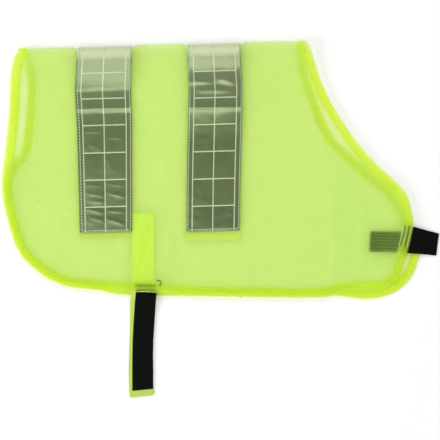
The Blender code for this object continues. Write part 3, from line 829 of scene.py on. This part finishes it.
# %% Reflective PVC film
def reflective_film():
    """Clear PVC over moulded prisms: grey-green and dark from the front, and as glossy as calendered film.
    By the fold its colour is painted paler, as a painted highlight.
    """
    material = new_material("prismatic_pvc_tape")
    place = add_node(material, "UVMap", uv_map="flat").outputs["UV"]
    # The prisms are 0.2 mm apart, drawn at 1.1 mm so that their lattice shows close up
    prisms = add_node(material, "TexVoronoi", {"Vector": place, "Scale": 1 / (1.1 * MM),
                                               "Randomness": 0.25}, distance="CHEBYCHEV")
    cloudy = add_node(material, "TexNoise", {"Vector": place, "Scale": 55.0, "Detail": 3.0,
                                             "Roughness": 0.6})
    tone = add_node(material, "ValToRGB", {"Fac": cloudy.outputs["Fac"]},
                    ((0.3, "#5F6C49"), (0.72, "#68764F")))
    across = add_node(material, "SeparateXYZ", {0: place})
    from_fold = add_node(material, "Math", {0: across.outputs["Y"]}, operation="ABSOLUTE").outputs[0]
    # Each zone: metres from the fold where it begins and ends, its share at both, and its colour
    colour, shares = tone.outputs["Color"], []
    for start, end, first, last, tint in (
        (0.005, 0.08, 0.5, 0.0, "#8B9674"),      # painted highlight: paler down the slope from the fold
        (0.12, 0.17, 0.0, 0.35, "#47523A"),      # painted shade: darker towards the belly end
        (0.0048, 0.013, 1.0, 0.0, "#BFCB9E"),    # painted highlight: pale on the nose of the fold
    ):
        share = add_node(material, "MapRange", {"Value": from_fold, "From Min": start, "From Max": end,
                                                "To Min": first, "To Max": last}).outputs[0]
        colour = add_node(material, "Mix", {0: share, 6: colour, 7: linear(tint)},
                          data_type="RGBA").outputs[2]
        shares.append(share)
    painted_highlight_on_slope, _, painted_highlight_on_nose = shares
    gloss = add_node(material, "MapRange", {"Value": painted_highlight_on_slope, "From Max": 0.5, "To Min": 0.35,
                                            "To Max": 0.15})
    dull = add_node(material, "MapRange", {"Value": painted_highlight_on_nose, "To Min": 1.0, "To Max": 0.0})
    rubbed = add_node(material, "MapRange", {"Value": across.outputs["X"], "From Min": -0.055,
                                             "From Max": -0.05, "To Min": 0.76, "To Max": 0.95})
    for loss in (dull, rubbed):
        gloss = add_node(material, "Math", {0: gloss.outputs[0], 1: loss.outputs[0]}, operation="MULTIPLY")
    return finish_solid(material, prisms.outputs["Distance"], 0.08, 0.4, {
        "Base Color": colour, "Metallic": gloss.outputs[0], "Roughness": 0.16, "Specular IOR Level": 0.1,
    })


def weld_line():
    """Where the film is melted to its backing it turns milky and dull."""
    material = new_material("welded_pvc_line")
    place = add_node(material, "TexCoord").outputs["Object"]
    grain = add_node(material, "TexNoise", {"Vector": place, "Scale": 900.0, "Detail": 2.0})
    tone = add_node(material, "ValToRGB", {"Fac": grain.outputs["Fac"]}, ((0, "#A6B58A"), (1, "#C2CFA4")))
    return finish_solid(material, grain.outputs["Fac"], 0.05, 0.4, {
        "Base Color": tone.outputs["Color"], "Metallic": 0.1, "Roughness": 0.22, "IOR": 1.5,
    })


def pvc_backing():
    """The back of the tape is soft PVC on a knitted scrim, a dull yellowish white."""
    material = new_material("soft_pvc_backing")
    scrim = weave(material, 1.2, add_node(material, "UVMap", uv_map="flat").outputs["UV"])
    return finish_solid(material, scrim, 0.1, 0.5, {"Base Color": linear("#F2F8A8"), "Roughness": 0.6})


# %% Build both bands and their welds
film_material, weld_material, backing_material = reflective_film(), weld_line(), pvc_backing()
FILM_STEP, FILM_RIM = 1.1, 0.35

bands, band_size = {}, {}
for band in BANDS:
    band_width, near_end, far_end = band_extent(band)
    u = stations(0.0, 1.0, FILM_STEP / band_width, FILM_RIM / band_width)
    w = stations(far_end, near_end, FILM_STEP, FILM_RIM)
    u, w = np.meshgrid(u, w)
    x, _ = band_place(band, u, w)
    rim = np.minimum(np.minimum(u, 1 - u) * band_width, np.minimum(near_end - w, w - far_end))
    edge_round = 0.1 * TAPE * (1 - np.clip(rim / FILM_RIM, 0, 1))
    upper = on_film(band, u, w, -edge_round)
    lower = on_cloth(x, w, TAPE_LIFT - TAPE / 2 + edge_round)
    bands[band] = add_shell(f"{band}_pvc_film", upper, lower, np.stack([x, w], -1), film_material,
                            backing_material)
    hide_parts(band)
    band_size[band] = (band_width * MM, (near_end - far_end) * MM)

# %% Weld lines
WELD_STEP = 1.3
WELD_RISE, WELD_DEPTH = 0.10, 0.08    # above and below the film
WELD_END = 0.6                        # from the end of the long welds to the end of the band
PROFILE = np.array((-1.0, -0.6, 0.0, 0.6, 1.0))    # places across a weld, as shares of half its width


def add_welds(band):
    """All pale weld lines of a band as one mesh: three down its whole length, and one across at each
    pitch. Each line is a low arch over its own width, a sixth power of the place across it."""
    band_width, near_end, far_end = band_extent(band)
    half_line = WELD_WIDTH / 2 / band_width
    along = stations(far_end + WELD_END, near_end - WELD_END, WELD_STEP)
    across = stations(WELDS_ACROSS[0] + half_line, WELDS_ACROSS[2] - half_line, WELD_STEP / band_width)
    rows = BANDS[band][3]
    grids = [(u + half_line * PROFILE, along[:, None]) for u in WELDS_ACROSS]
    grids += [(across[:, None], w + PROFILE * WELD_WIDTH / 2) for w in (*rows, *(-w for w in rows))]
    corners, faces, flats, count = [], [], [], 0
    for u, w in grids:
        u, w = np.broadcast_arrays(u, w)
        upper = on_film(band, u, w, WELD_RISE * (1 - 0.7 * PROFILE**6))
        lower = on_film(band, u, w, -WELD_DEPTH)
        points = np.concatenate([upper.reshape(-1, 3), lower.reshape(-1, 3)])
        shell = shell_faces(*u.shape)
        if volume(points, shell) < 0:
            shell = shell[:, ::-1]
        corners.append(points)
        faces.append(shell + count)
        flats.append(np.tile(np.stack([u, w], -1).reshape(-1, 2), (2, 1)))
        count += len(points)
    return add_piece(f"{band}_weld_lines", np.vstack(corners), np.vstack(faces), np.vstack(flats),
                     weld_material)


welds = {band: add_welds(band) for band in BANDS}

# %% [markdown]
# ## Straps, strip, tab and patch
#
# The belly strap is the same yellow tape, wider, and brushed so that hooks hold on it. The fasteners are
# hook and loop tape: nylon woven with a field of hooks or loops, so black that only their edges show. Each
# is a ribbon in the room: a row across it for each step along it, at its own height.

# %% Ribbons
STRAP_EDGES = np.array((    # (y, left x, right x)
    (-159.4, -81.0, -60.9), (-158.5, -81.8, -60.0), (-155.4, -82.3, -59.5), (-153.0, -82.5, -60.2),
    (-135.5, -82.9, -60.9), (-108.5, -82.1, -60.8), (-94.1, -81.7, -59.9), (-72.5, -81.1, -58.3),
    (-54.5, -80.3, -59.4), (5.8, -80.1, -59.9),
))
HOOK_EDGES = np.array((
    (-153.5, -79.4, -60.7), (-137.3, -79.4, -60.6), (-122.9, -79.3, -60.8), (-108.5, -79.0, -60.5),
    (-94.1, -78.3, -59.6), (-72.5, -76.8, -58.1), (-66.2, -76.2, -57.6), (-62.6, -76.0, -57.4),
))
STRAP_ROOT, STRAP_END = 5.8, -159.4
HOOK_ROOT, HOOK_END = -62.6, -153.5
STRAP_SPAN, HOOK_SPAN = 21.0, 19.0                          # widths that the grids are spaced by
HEM_TOP, HEM_RISE, HEM_EASE = -153.9, 0.6, 0.8              # the strap's end is folded back over itself
END_SLANT, SLANT_EASE = 2.1, 24.0                           # and cut a little askew
CROWN = 0.12                                                # how much a strap's middle stands up
STRAP_LOW = AIR + STRAP / 2                                 # its height where it lies on the table
STRAP_ON_CLOTH = FAR_HEIGHT + CLOTH / 2 + AIR + STRAP / 2    # on the far half
STRAP_ON_BINDING = FAR_HEIGHT + BINDING_RISE + AIR + STRAP / 2    # over the far half's bound edge
CLIMB_START, CLIMB = -43.0, 14.0                            # y where it climbs on the binding, and how far
FALL_START, FALL = -71.0, 22.0                              # y where it falls to the table, and how far


def strap_height(y):
    """The strap's middle: on the far cloth, up over its binding by an eased step, and down to the table."""
    climbed = 1 - ease(CLIMB_START - y, CLIMB)
    fallen = 1 - ease(FALL_START - y, FALL)
    on_vest = STRAP_ON_CLOTH + (STRAP_ON_BINDING - STRAP_ON_CLOTH) * climbed
    return on_vest + (STRAP_LOW - on_vest) * fallen


def on_strap(edges, u, y, lift):
    """Places a share u across a strap at y, lifted above the strap's middle, with a shallow crown. The
    doubled hem at its end is thicker, and stands as much higher."""
    x0, x1 = (np.interp(y, edges[:, 0], edges[:, k]) for k in (1, 2))
    crown = CROWN * (1 - (2 * u - 1) ** 2)
    doubled = ease(y - HEM_TOP, HEM_EASE) * HEM_RISE / STRAP
    hem_lift = (lift + STRAP / 2) * doubled * (np.abs(lift) <= STRAP / 2)
    aslant = END_SLANT * (u - 0.5) * ease(y - STRAP_END, SLANT_EASE)
    return np.stack([x0 + u * (x1 - x0), y + aslant, strap_height(y) + lift + hem_lift + crown], -1)


RIBBON_STEP, RIBBON_RIM = 1.2, 0.3
RIM_SHARE = 0.55    # of the full thickness, at the very rim


def add_ribbon(name, surface, width, start, end, thickness, material):
    """A closed shell over a ribbon's surface: u across, v along, full thickness but for its thin rim."""
    u = stations(0.0, 1.0, RIBBON_STEP / width, RIBBON_RIM / width)
    v = stations(start, end, RIBBON_STEP, RIBBON_RIM)
    u, v = np.meshgrid(u, v)
    inside = np.minimum(np.minimum(u, 1 - u) * width, np.minimum(np.abs(v - start), np.abs(v - end)))
    full = np.clip(inside / RIBBON_RIM, 0, 1)
    half_wall = thickness / 2 * (RIM_SHARE + (1 - RIM_SHARE) * full)
    flat = np.stack([u * width, v], -1)
    return add_shell(name, surface(u, v, half_wall), surface(u, v, -half_wall), flat, material)


def loop_pile():
    """Black nylon loop tape: a matt pile of loops in rows along it, paler in the valleys between."""
    material = new_material("black_nylon_loop_tape")
    place = add_node(material, "UVMap", uv_map="flat").outputs["UV"]
    rows = add_node(material, "TexWave", {"Vector": place, "Scale": bands_scale(2.7), "Distortion": 0.8,
                                          "Detail": 1.5, "Detail Scale": 0.8}, bands_direction="X")
    tone = add_node(material, "ValToRGB", {"Fac": rows.outputs["Fac"]}, ((0, "#5A6844"), (1, "#060706")))
    return finish_solid(material, rows.outputs["Fac"], 0.3, 0.6, {
        "Base Color": tone.outputs["Color"], "Roughness": 0.9, "Specular IOR Level": 0.05,
    })


def hook_tape():
    """Black nylon hook tape: dull, rough and nearly without a highlight."""
    material = new_material("black_nylon_hook_tape")
    place = add_node(material, "UVMap", uv_map="flat").outputs["UV"]
    # The hooks stand 0.9 mm apart in rows
    field = add_node(material, "TexVoronoi", {"Vector": place, "Scale": 1 / (0.9 * MM), "Randomness": 0.35})
    tone = add_node(material, "ValToRGB", {"Fac": field.outputs["Distance"]},
                    ((0, "#131511"), (1, "#080907")))
    return finish_solid(material, field.outputs["Distance"], 0.3, 0.7, {
        "Base Color": tone.outputs["Color"], "Roughness": 0.85, "Specular IOR Level": 0.03,
    }, invert=True)


def brushed_strap():
    """Brushed tricot: a dense yellow nap that hooks hold on. Its root under the vest is paler than the
    length outside, so the colour follows the length of the strap."""
    material = new_material("brushed_yellow_tricot")
    flat = add_node(material, "UVMap", uv_map="flat").outputs["UV"]
    along = add_node(material, "SeparateXYZ", {0: flat}).outputs["Y"]
    outside = add_node(material, "MapRange", {"Value": along, "From Min": -0.052, "From Max": -0.075})
    nap = add_node(material, "TexNoise", {"Vector": flat, "Scale": 700.0, "Detail": 3.0})
    tone = add_node(material, "ValToRGB", {"Fac": outside.outputs[0]}, ((0, "#D8F25C"), (1, "#B4CF5A")))
    return finish_solid(material, nap.outputs["Fac"], 0.3, 0.5, {
        "Base Color": tone.outputs["Color"], "Roughness": 0.8, "Specular IOR Level": 0.1,
        "Sheen Weight": 0.2,
    })


black_nylon, loop_nylon, tricot = hook_tape(), loop_pile(), brushed_strap()
HOOK_RISE = STRAP / 2 + AIR + HOOK / 2
strap = add_ribbon("belly_strap_tape", lambda u, v, lift: on_strap(STRAP_EDGES, u, v, lift),
                   STRAP_SPAN, STRAP_ROOT, STRAP_END, STRAP, tricot)
strip = add_ribbon("belly_hook_tape", lambda u, v, lift: on_strap(HOOK_EDGES, u, v, lift + HOOK_RISE),
                   HOOK_SPAN, HOOK_ROOT, HOOK_END, HOOK, black_nylon)
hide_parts("belly_strap")
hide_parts("belly_hook_strip")

# %% Chest fasteners
CHEST_TAB = np.array((    # from root to end: (upper x, upper y, lower x, lower y, middle height)
    (168.3, -5.0, 163.3, -27.5, 2.75), (174.2, -6.7, 167.8, -30.2, 2.75), (180.2, -8.3, 179.4, -31.2, 2.7),
    (183.6, -9.3, 182.6, -31.5, 1.9), (187.8, -10.4, 186.2, -31.8, 1.0), (191.9, -11.4, 190.1, -32.2, 0.65),
    (196.9, -12.7, 194.4, -32.6, 0.6),
))
CHEST_PATCH = np.array((
    (135.2, -10.8, 133.7, -28.8, 3.1), (149.6, -11.0, 146.4, -29.2, 3.1), (163.6, -11.2, 158.7, -29.6, 3.0),
))


def on_ribbon(table, u, v, lift):
    """Places a share u across and a number v of rows along a table of a ribbon's two edges, each value
    read from a smooth curve through the table."""
    curve = smooth_curve(table, 8)
    at = np.linspace(0, len(table) - 1, len(curve))
    x0, y0, x1, y1, z = (np.interp(v, at, curve[:, k]) for k in range(5))
    return np.stack([x0 + u * (x1 - x0), y0 + u * (y1 - y0), z + lift], -1)


def add_chest_piece(name, table, width, length, material):
    """A hook or loop piece: the shell over its ribbon, with v counted in mm along it."""
    rows = len(table) - 1
    return add_ribbon(name, lambda u, v, lift: on_ribbon(table, u, v / length * rows, lift), width,
                      0.0, length, HOOK, material)


tab = add_chest_piece("chest_hook_tab_nylon", CHEST_TAB, width=22.0, length=29.0, material=black_nylon)
patch = add_chest_piece("chest_loop_patch_nylon", CHEST_PATCH, width=18.0, length=27.0, material=loop_nylon)
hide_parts("chest_hook_tab")
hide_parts("chest_loop_patch")

# %% [markdown]
# ## Stitches
#
# Each stitch is a short length of thread that comes out of the cloth, lies on it and dives in again. All
# stitches of a seam are one mesh: a ring of corners, carried along an arch, for every stitch at once.


# %% Sewing
STITCH_SHARES = (-0.5, -0.3, 0.0, 0.3, 0.5)    # where the rings of a stitch are, along its length
THREAD_SIDES = 6


def add_stitches(name, surface, path, pitch, length, thickness, material, slot, lift=0.0, slant=0.0):
    """Stitches along a path of places on a surface: the ring's angle and the share along the stitch give
    each corner. The thread's middle is a parabola of that share, from 0.45 of its thickness above the
    surface to 0.15 below it at both ends."""
    path = np.asarray(path, float)
    run = run_along(path)
    middles = np.arange(pitch / 2, run[-1], pitch)
    share = np.array(STITCH_SHARES)
    angle = np.arange(THREAD_SIDES) / THREAD_SIDES * 2 * math.pi
    at = middles[:, None] + share * length
    centre = np.stack([np.interp(at, run, path[:, k]) for k in (0, 1)], -1)
    ahead = centre[:, -1:] - centre[:, :1]
    ahead = ahead / np.linalg.norm(ahead, axis=-1, keepdims=True)
    side = np.stack([-ahead[..., 1], ahead[..., 0]], -1)
    centre = centre + slant * share[None, :, None] * side
    radius = thickness / 2 * np.sqrt(1.02 - (2 * share) ** 2)
    beside = (radius[:, None] * np.cos(angle))[None, :, :, None] * side[:, :, None, :]
    place = centre[:, :, None, :] + beside
    height = thickness * (0.45 - 2.4 * share**2)[:, None] + radius[:, None] * np.sin(angle)
    corners = surface(place[..., 0], place[..., 1], lift + np.broadcast_to(height, place.shape[:-1]))
    ring = np.arange(len(share) * THREAD_SIDES).reshape(len(share), THREAD_SIDES)
    ends = np.array((ring[0][::-1], ring[-1]))
    starts = np.arange(len(middles))[:, None, None] * ring.size
    faces = (quads(np.hstack([ring, ring[:, :1]]))[None] + starts).reshape(-1, 4)
    caps = (ends[None] + starts).reshape(-1, THREAD_SIDES).tolist()
    return add_piece(name, corners, faces, place.reshape(-1, 2), material, caps)


def sewing_thread(name, hex_colour, by_fold=None):
    """Spun polyester thread: matt, with a fine twist. By the fold, where the tape mirrors the lamp, its
    stitches can be given a second, darker colour, which paints shade on them there."""
    material = new_material(name)
    place = add_node(material, "TexCoord").outputs["Object"]
    twist = add_node(material, "TexNoise", {"Vector": place, "Scale": 1500.0, "Detail": 2.0})
    colour = linear(hex_colour)
    if by_fold:
        flat = add_node(material, "UVMap", uv_map="flat").outputs["UV"]
        across = add_node(material, "SeparateXYZ", {0: flat}).outputs["Y"]
        from_fold = add_node(material, "Math", {0: across}, operation="ABSOLUTE").outputs[0]
        away = add_node(material, "MapRange", {"Value": from_fold, "From Min": 0.040, "From Max": 0.048})
        colour = add_node(material, "Mix", {0: away.outputs[0], 6: linear(by_fold), 7: colour},
                          data_type="RGBA").outputs[2]
    return finish_solid(material, twist.outputs["Fac"], 0.05, 0.5, {
        "Base Color": colour, "Roughness": 0.6, "Sheen Weight": 0.2,
    })


# by the fold the white stitches are painted darker, as painted shade
white_thread = sewing_thread("white_polyester_thread", "#CDD5BA", "#A6B289")
yellow_thread = sewing_thread("yellow_polyester_thread", "#BCE03C")
pale_thread = sewing_thread("pale_yellow_polyester_thread", "#DEF096")
olive_thread = sewing_thread("olive_polyester_thread", "#A3C414")
deep_olive_thread = sewing_thread("deep_olive_polyester_thread", "#90B200")
tab_thread = sewing_thread("dark_green_polyester_thread", "#61782A")

SEAM, SEAM_LIFT = 6.6, 0.56    # mm inside the finished edge, and above or below the cloth's middle
seam_path = edge - SEAM * pressed[:, None] * outward
seam_path = np.vstack([seam_path, seam_path[:1]])
binding_seams = [
    add_stitches(f"binding_stitches_{side}", on_cloth, seam_path, pitch=3.1, length=2.3, thickness=0.24,
                 material=yellow_thread, slot="yellow_binding", lift=lift)
    for side, lift in (("outer", SEAM_LIFT), ("inner", -SEAM_LIFT))
]

# %% Stitches of the fasteners
def strap_top(x, y, lift):
    """Places (x, y) on the belly strap's upper side, beside it at the same height."""
    return np.stack([x, y, strap_height(y) + STRAP / 2 + CROWN + lift], -1)


def strip_top(x, y, lift):
    """Places (x, y) on the hook strip's upper side."""
    return strap_top(x, y, lift + AIR + HOOK)


def patch_top(x, y, lift):
    """Places (x, y) on the loop patch's upper side."""
    return np.stack([x, y, CHEST_PATCH[0, 4] + HOOK / 2 + lift + 0 * x], -1)


def near_place(corners):
    """A path of corners (x, y) on the near half as places (x, w), with a place at each millimetre."""
    corners = np.array(corners)
    run = run_along(corners)
    at = np.arange(0, run[-1], 1.0)
    x, y = (np.interp(at, run, corners[:, k]) for k in (0, 1))
    return np.stack([x, over_back(x, y)], -1)


STRAP_TACKS_AND_PAINTED_EDGE = (    # path on the near half, thickness, thread
    (((-76.6, -58.6), (-59.4, -58.7)), 1.2, olive_thread),
    (((-77.0, -59.6), (-57.6, -59.7)), 1.4, deep_olive_thread),
    (((-76.2, -60.6), (-60.0, -60.7)), 1.2, olive_thread),
    # painted shadow: a dark row along the near binding's lower edge, where it shades the strip
    (((-76.4, -63.9), (-68.0, -63.3), (-57.8, -64.4)), 0.7, tab_thread),
    # painted highlight: a pale row along the near binding's lower edge
    (((-77.0, -65.3), (-75.7, -65.1), (-68.0, -64.5), (-57.0, -65.7)), 0.7, pale_thread),
    (((-57.5, -55.2), (-53.9, -54.9), (-53.8, -59.6), (-56.4, -60.2)), 1.3, tab_thread),
)
TIGHT = {"pitch": 1.5, "length": 1.6}    # stitches that run into one another, as in a tack
strap_tacks_and_painted_edge = [
    add_stitches(f"belly_strap_tack_{row}", on_cloth, near_place(corners), **TIGHT, thickness=thickness,
                 material=thread, slot="yellow_binding", lift=0.5)
    for row, (corners, thickness, thread) in enumerate(STRAP_TACKS_AND_PAINTED_EDGE)
]
# Pale stitches across the strip's top and on the strap beside its left edge; they also paint the highlight
# along these edges
STRIP_HIGHLIGHT_SEAM = ((-57.6, -65.4), (-76.3, -65.1), (-77.7, -74.0), (-79.9, -108.5), (-80.3, -151.5))
strip_top_highlight_stitches = add_stitches("belly_hook_stitches", strip_top, STRIP_HIGHLIGHT_SEAM[:2], pitch=1.5, length=1.42,
                          thickness=0.45, material=pale_thread, slot="black_hook_tape")
strip_edge_highlight_stitches = add_stitches("belly_hook_edge_stitches", strap_top, STRIP_HIGHLIGHT_SEAM[1:], pitch=2.4, length=2.2,
                          thickness=0.5, material=pale_thread, slot="yellow_binding")
PATCH_SEAM = ((135.7, -11.9), (160.6, -12.2), (157.9, -28.6), (134.7, -28.0), (135.7, -11.9))
patch_seam = add_stitches("chest_patch_stitches", patch_top, PATCH_SEAM, pitch=2.4, length=1.8,
                          thickness=0.4, material=tab_thread, slot="black_hook_tape")
CHEST_X = 160.0                     # the chest's edge lies beyond this
TAB_TOP, TAB_LOW = -5.5, -26.5      # y of both ends of the tab's seams
at_tab = (edge[:, 0] > CHEST_X) & (edge[:, 1] > 0) & (edge_y < TAB_TOP) & (edge_y > TAB_LOW)
TAB_SEAMS = {    # (mm inside the edge, thickness, lift, thread)
    "outer": (2.0, 0.5, 0.9, pale_thread), "second": (3.8, 1.0, 0.7, tab_thread),
    "middle": (5.6, 0.5, 0.7, pale_thread), "fourth": (7.4, 1.0, 0.4, tab_thread),
    "inner": (9.2, 0.5, 0.2, pale_thread),
}
tab_seams = [
    add_stitches(f"chest_tab_stitches_{row}", on_cloth, edge[at_tab] - inset * outward[at_tab], **TIGHT,
                 thickness=thickness, material=thread, slot="black_hook_tape", lift=lift)
    for row, (inset, thickness, lift, thread) in TAB_SEAMS.items()
]

# %% Stitches of the bands
PRESSED_THREAD = 0.25    # under the vest the thread is pressed flat
STITCH_INSETS = {"rear_band": (2.0, 1.2), "front_band": (1.3, 0.9)}    # mm inside the left and right edge
STITCH_END = 2.0         # mm inside both ends
for band in BANDS:
    band_width, near_end, far_end = band_extent(band)

    def film_in_mm(s, w, lift, band=band, band_width=band_width):
        return on_film(band, s / band_width, w, lift * np.where(w > 0, 1.0, PRESSED_THREAD))

    left, right = STITCH_INSETS[band][0], band_width - STITCH_INSETS[band][1]
    top, bottom = far_end + STITCH_END, near_end - STITCH_END
    loop = ((left, bottom), (right, bottom), (right, top), (left, top), (left, bottom))
    add_stitches(f"{band}_stitches", film_in_mm, loop, pitch=2.7, length=2.4,
                                    thickness=0.85, material=white_thread, slot="reflective_tape",
                                    lift=-0.1, slant=0.5)

for band in BANDS:
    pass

# %% [markdown]
# ## Floor, light and camera
#
# The vest lies on a plain white table and is seen from straight above. Three softboxes light it. The one in
# front hangs almost overhead, so that the tape's slopes mirror it and its flat parts don't. A low one at
# the side grazes the cloth and shows its creases, and a wide one at the back fills their shadows.

# %% Floor
FLOOR_HALF = 2500.0


def floor_paint():
    """Matt white paint with a faint unevenness."""
    material = new_material("matt_white_paint")
    place = add_node(material, "TexCoord").outputs["Object"]
    grain = add_node(material, "TexNoise", {"Vector": place, "Scale": 40.0, "Detail": 3.0})
    tone = add_node(material, "ValToRGB", {"Fac": grain.outputs["Fac"]}, ((0, "#F6F6F6"), (1, "#F9F9F9")))
    paint = add_node(material, "BsdfPrincipled", {
        "Base Color": tone.outputs["Color"], "Roughness": 0.9, "Specular IOR Level": 0.1,
    })
    add_node(material, "OutputMaterial", {"Surface": paint.outputs[0]})
    return material


span = np.linspace(-FLOOR_HALF, FLOOR_HALF, 3) * MM
floor_x, floor_y = np.meshgrid(span, span)
floor_mesh = bpy.data.meshes.new("studio_floor")
floor_corners = np.stack([floor_x, floor_y, 0 * floor_x], -1).reshape(-1, 3)
floor_mesh.from_pydata(floor_corners.tolist(), [], quads(np.arange(9).reshape(3, 3)).tolist())
floor_mesh.materials.append(floor_paint())
floor = bpy.data.objects.new("studio_floor", floor_mesh)
bpy.context.scene.collection.objects.link(floor)
print("floor at z = 0")


# %% Lights
SOFTBOXES = {    # (place, width, depth) in metres, and watts
    "front_softbox": ((-0.16, -0.325, 1.9), 0.83, 0.37, 8.2),
    "side_softbox": ((-2.3, -1.0, 1.3), 1.2, 1.2, 33.5),
    "back_softbox": ((0.2, 1.8, 1.45), 2.6, 1.0, 17.0),
}
for name, (place, width, depth, watts) in SOFTBOXES.items():
    light = bpy.data.lights.new(name, "AREA")
    light.shape = "RECTANGLE"
    light.size, light.size_y = width, depth
    light.energy = watts
    softbox = bpy.data.objects.new(name, light)
    softbox.location = place
    x, y, z = place
    softbox.rotation_euler = (math.atan2(math.hypot(x, y), z), 0, math.atan2(x, -y))
    bpy.context.scene.collection.objects.link(softbox)
    print(f"{name}: {watts} W, turned to the middle of the vest")

AIR_LIGHT = 0.55    # strength of the even light from all round
world = bpy.data.worlds.new("studio_air")
world.use_nodes = True
world.node_tree.nodes["Background"].inputs["Color"].default_value = (1.0, 1.0, 1.0, 1.0)
world.node_tree.nodes["Background"].inputs["Strength"].default_value = AIR_LIGHT
bpy.context.scene.world = world

# %% Camera
PHOTO_WIDTH = 396.0                  # mm of the table that the photo's 440 pixels show
PHOTO_CENTRE = (-0.45, -0.54, 3.5)   # mm
LENS = 200.0
SENSOR = 36.0

camera_data = bpy.data.cameras.new("overhead_camera")
camera_data.lens = LENS
camera_data.sensor_width = SENSOR
camera_data.dof.use_dof = False
camera = bpy.data.objects.new("overhead_camera", camera_data)
bpy.context.scene.collection.objects.link(camera)
centre_x, centre_y, centre_z = PHOTO_CENTRE
camera.location = (centre_x * MM, centre_y * MM, (centre_z + PHOTO_WIDTH * LENS / SENSOR) * MM)
bpy.context.scene.camera = camera
bpy.context.scene.view_settings.view_transform = "Standard"
cycles = bpy.context.scene.cycles
cycles.max_bounces = 16
cycles.diffuse_bounces = 8
cycles.transmission_bounces = 12
cycles.transparent_max_bounces = 48    # light crosses up to a dozen thin walls and back
print("camera", round(camera.location.z, 3), "m above the table")
triangles = {piece.name: sum(len(face.vertices) - 2 for face in piece.data.polygons)
             for piece in bpy.data.objects if piece.type == "MESH"}
print(sum(triangles.values()), "triangles; the most in", max(triangles, key=triangles.get))
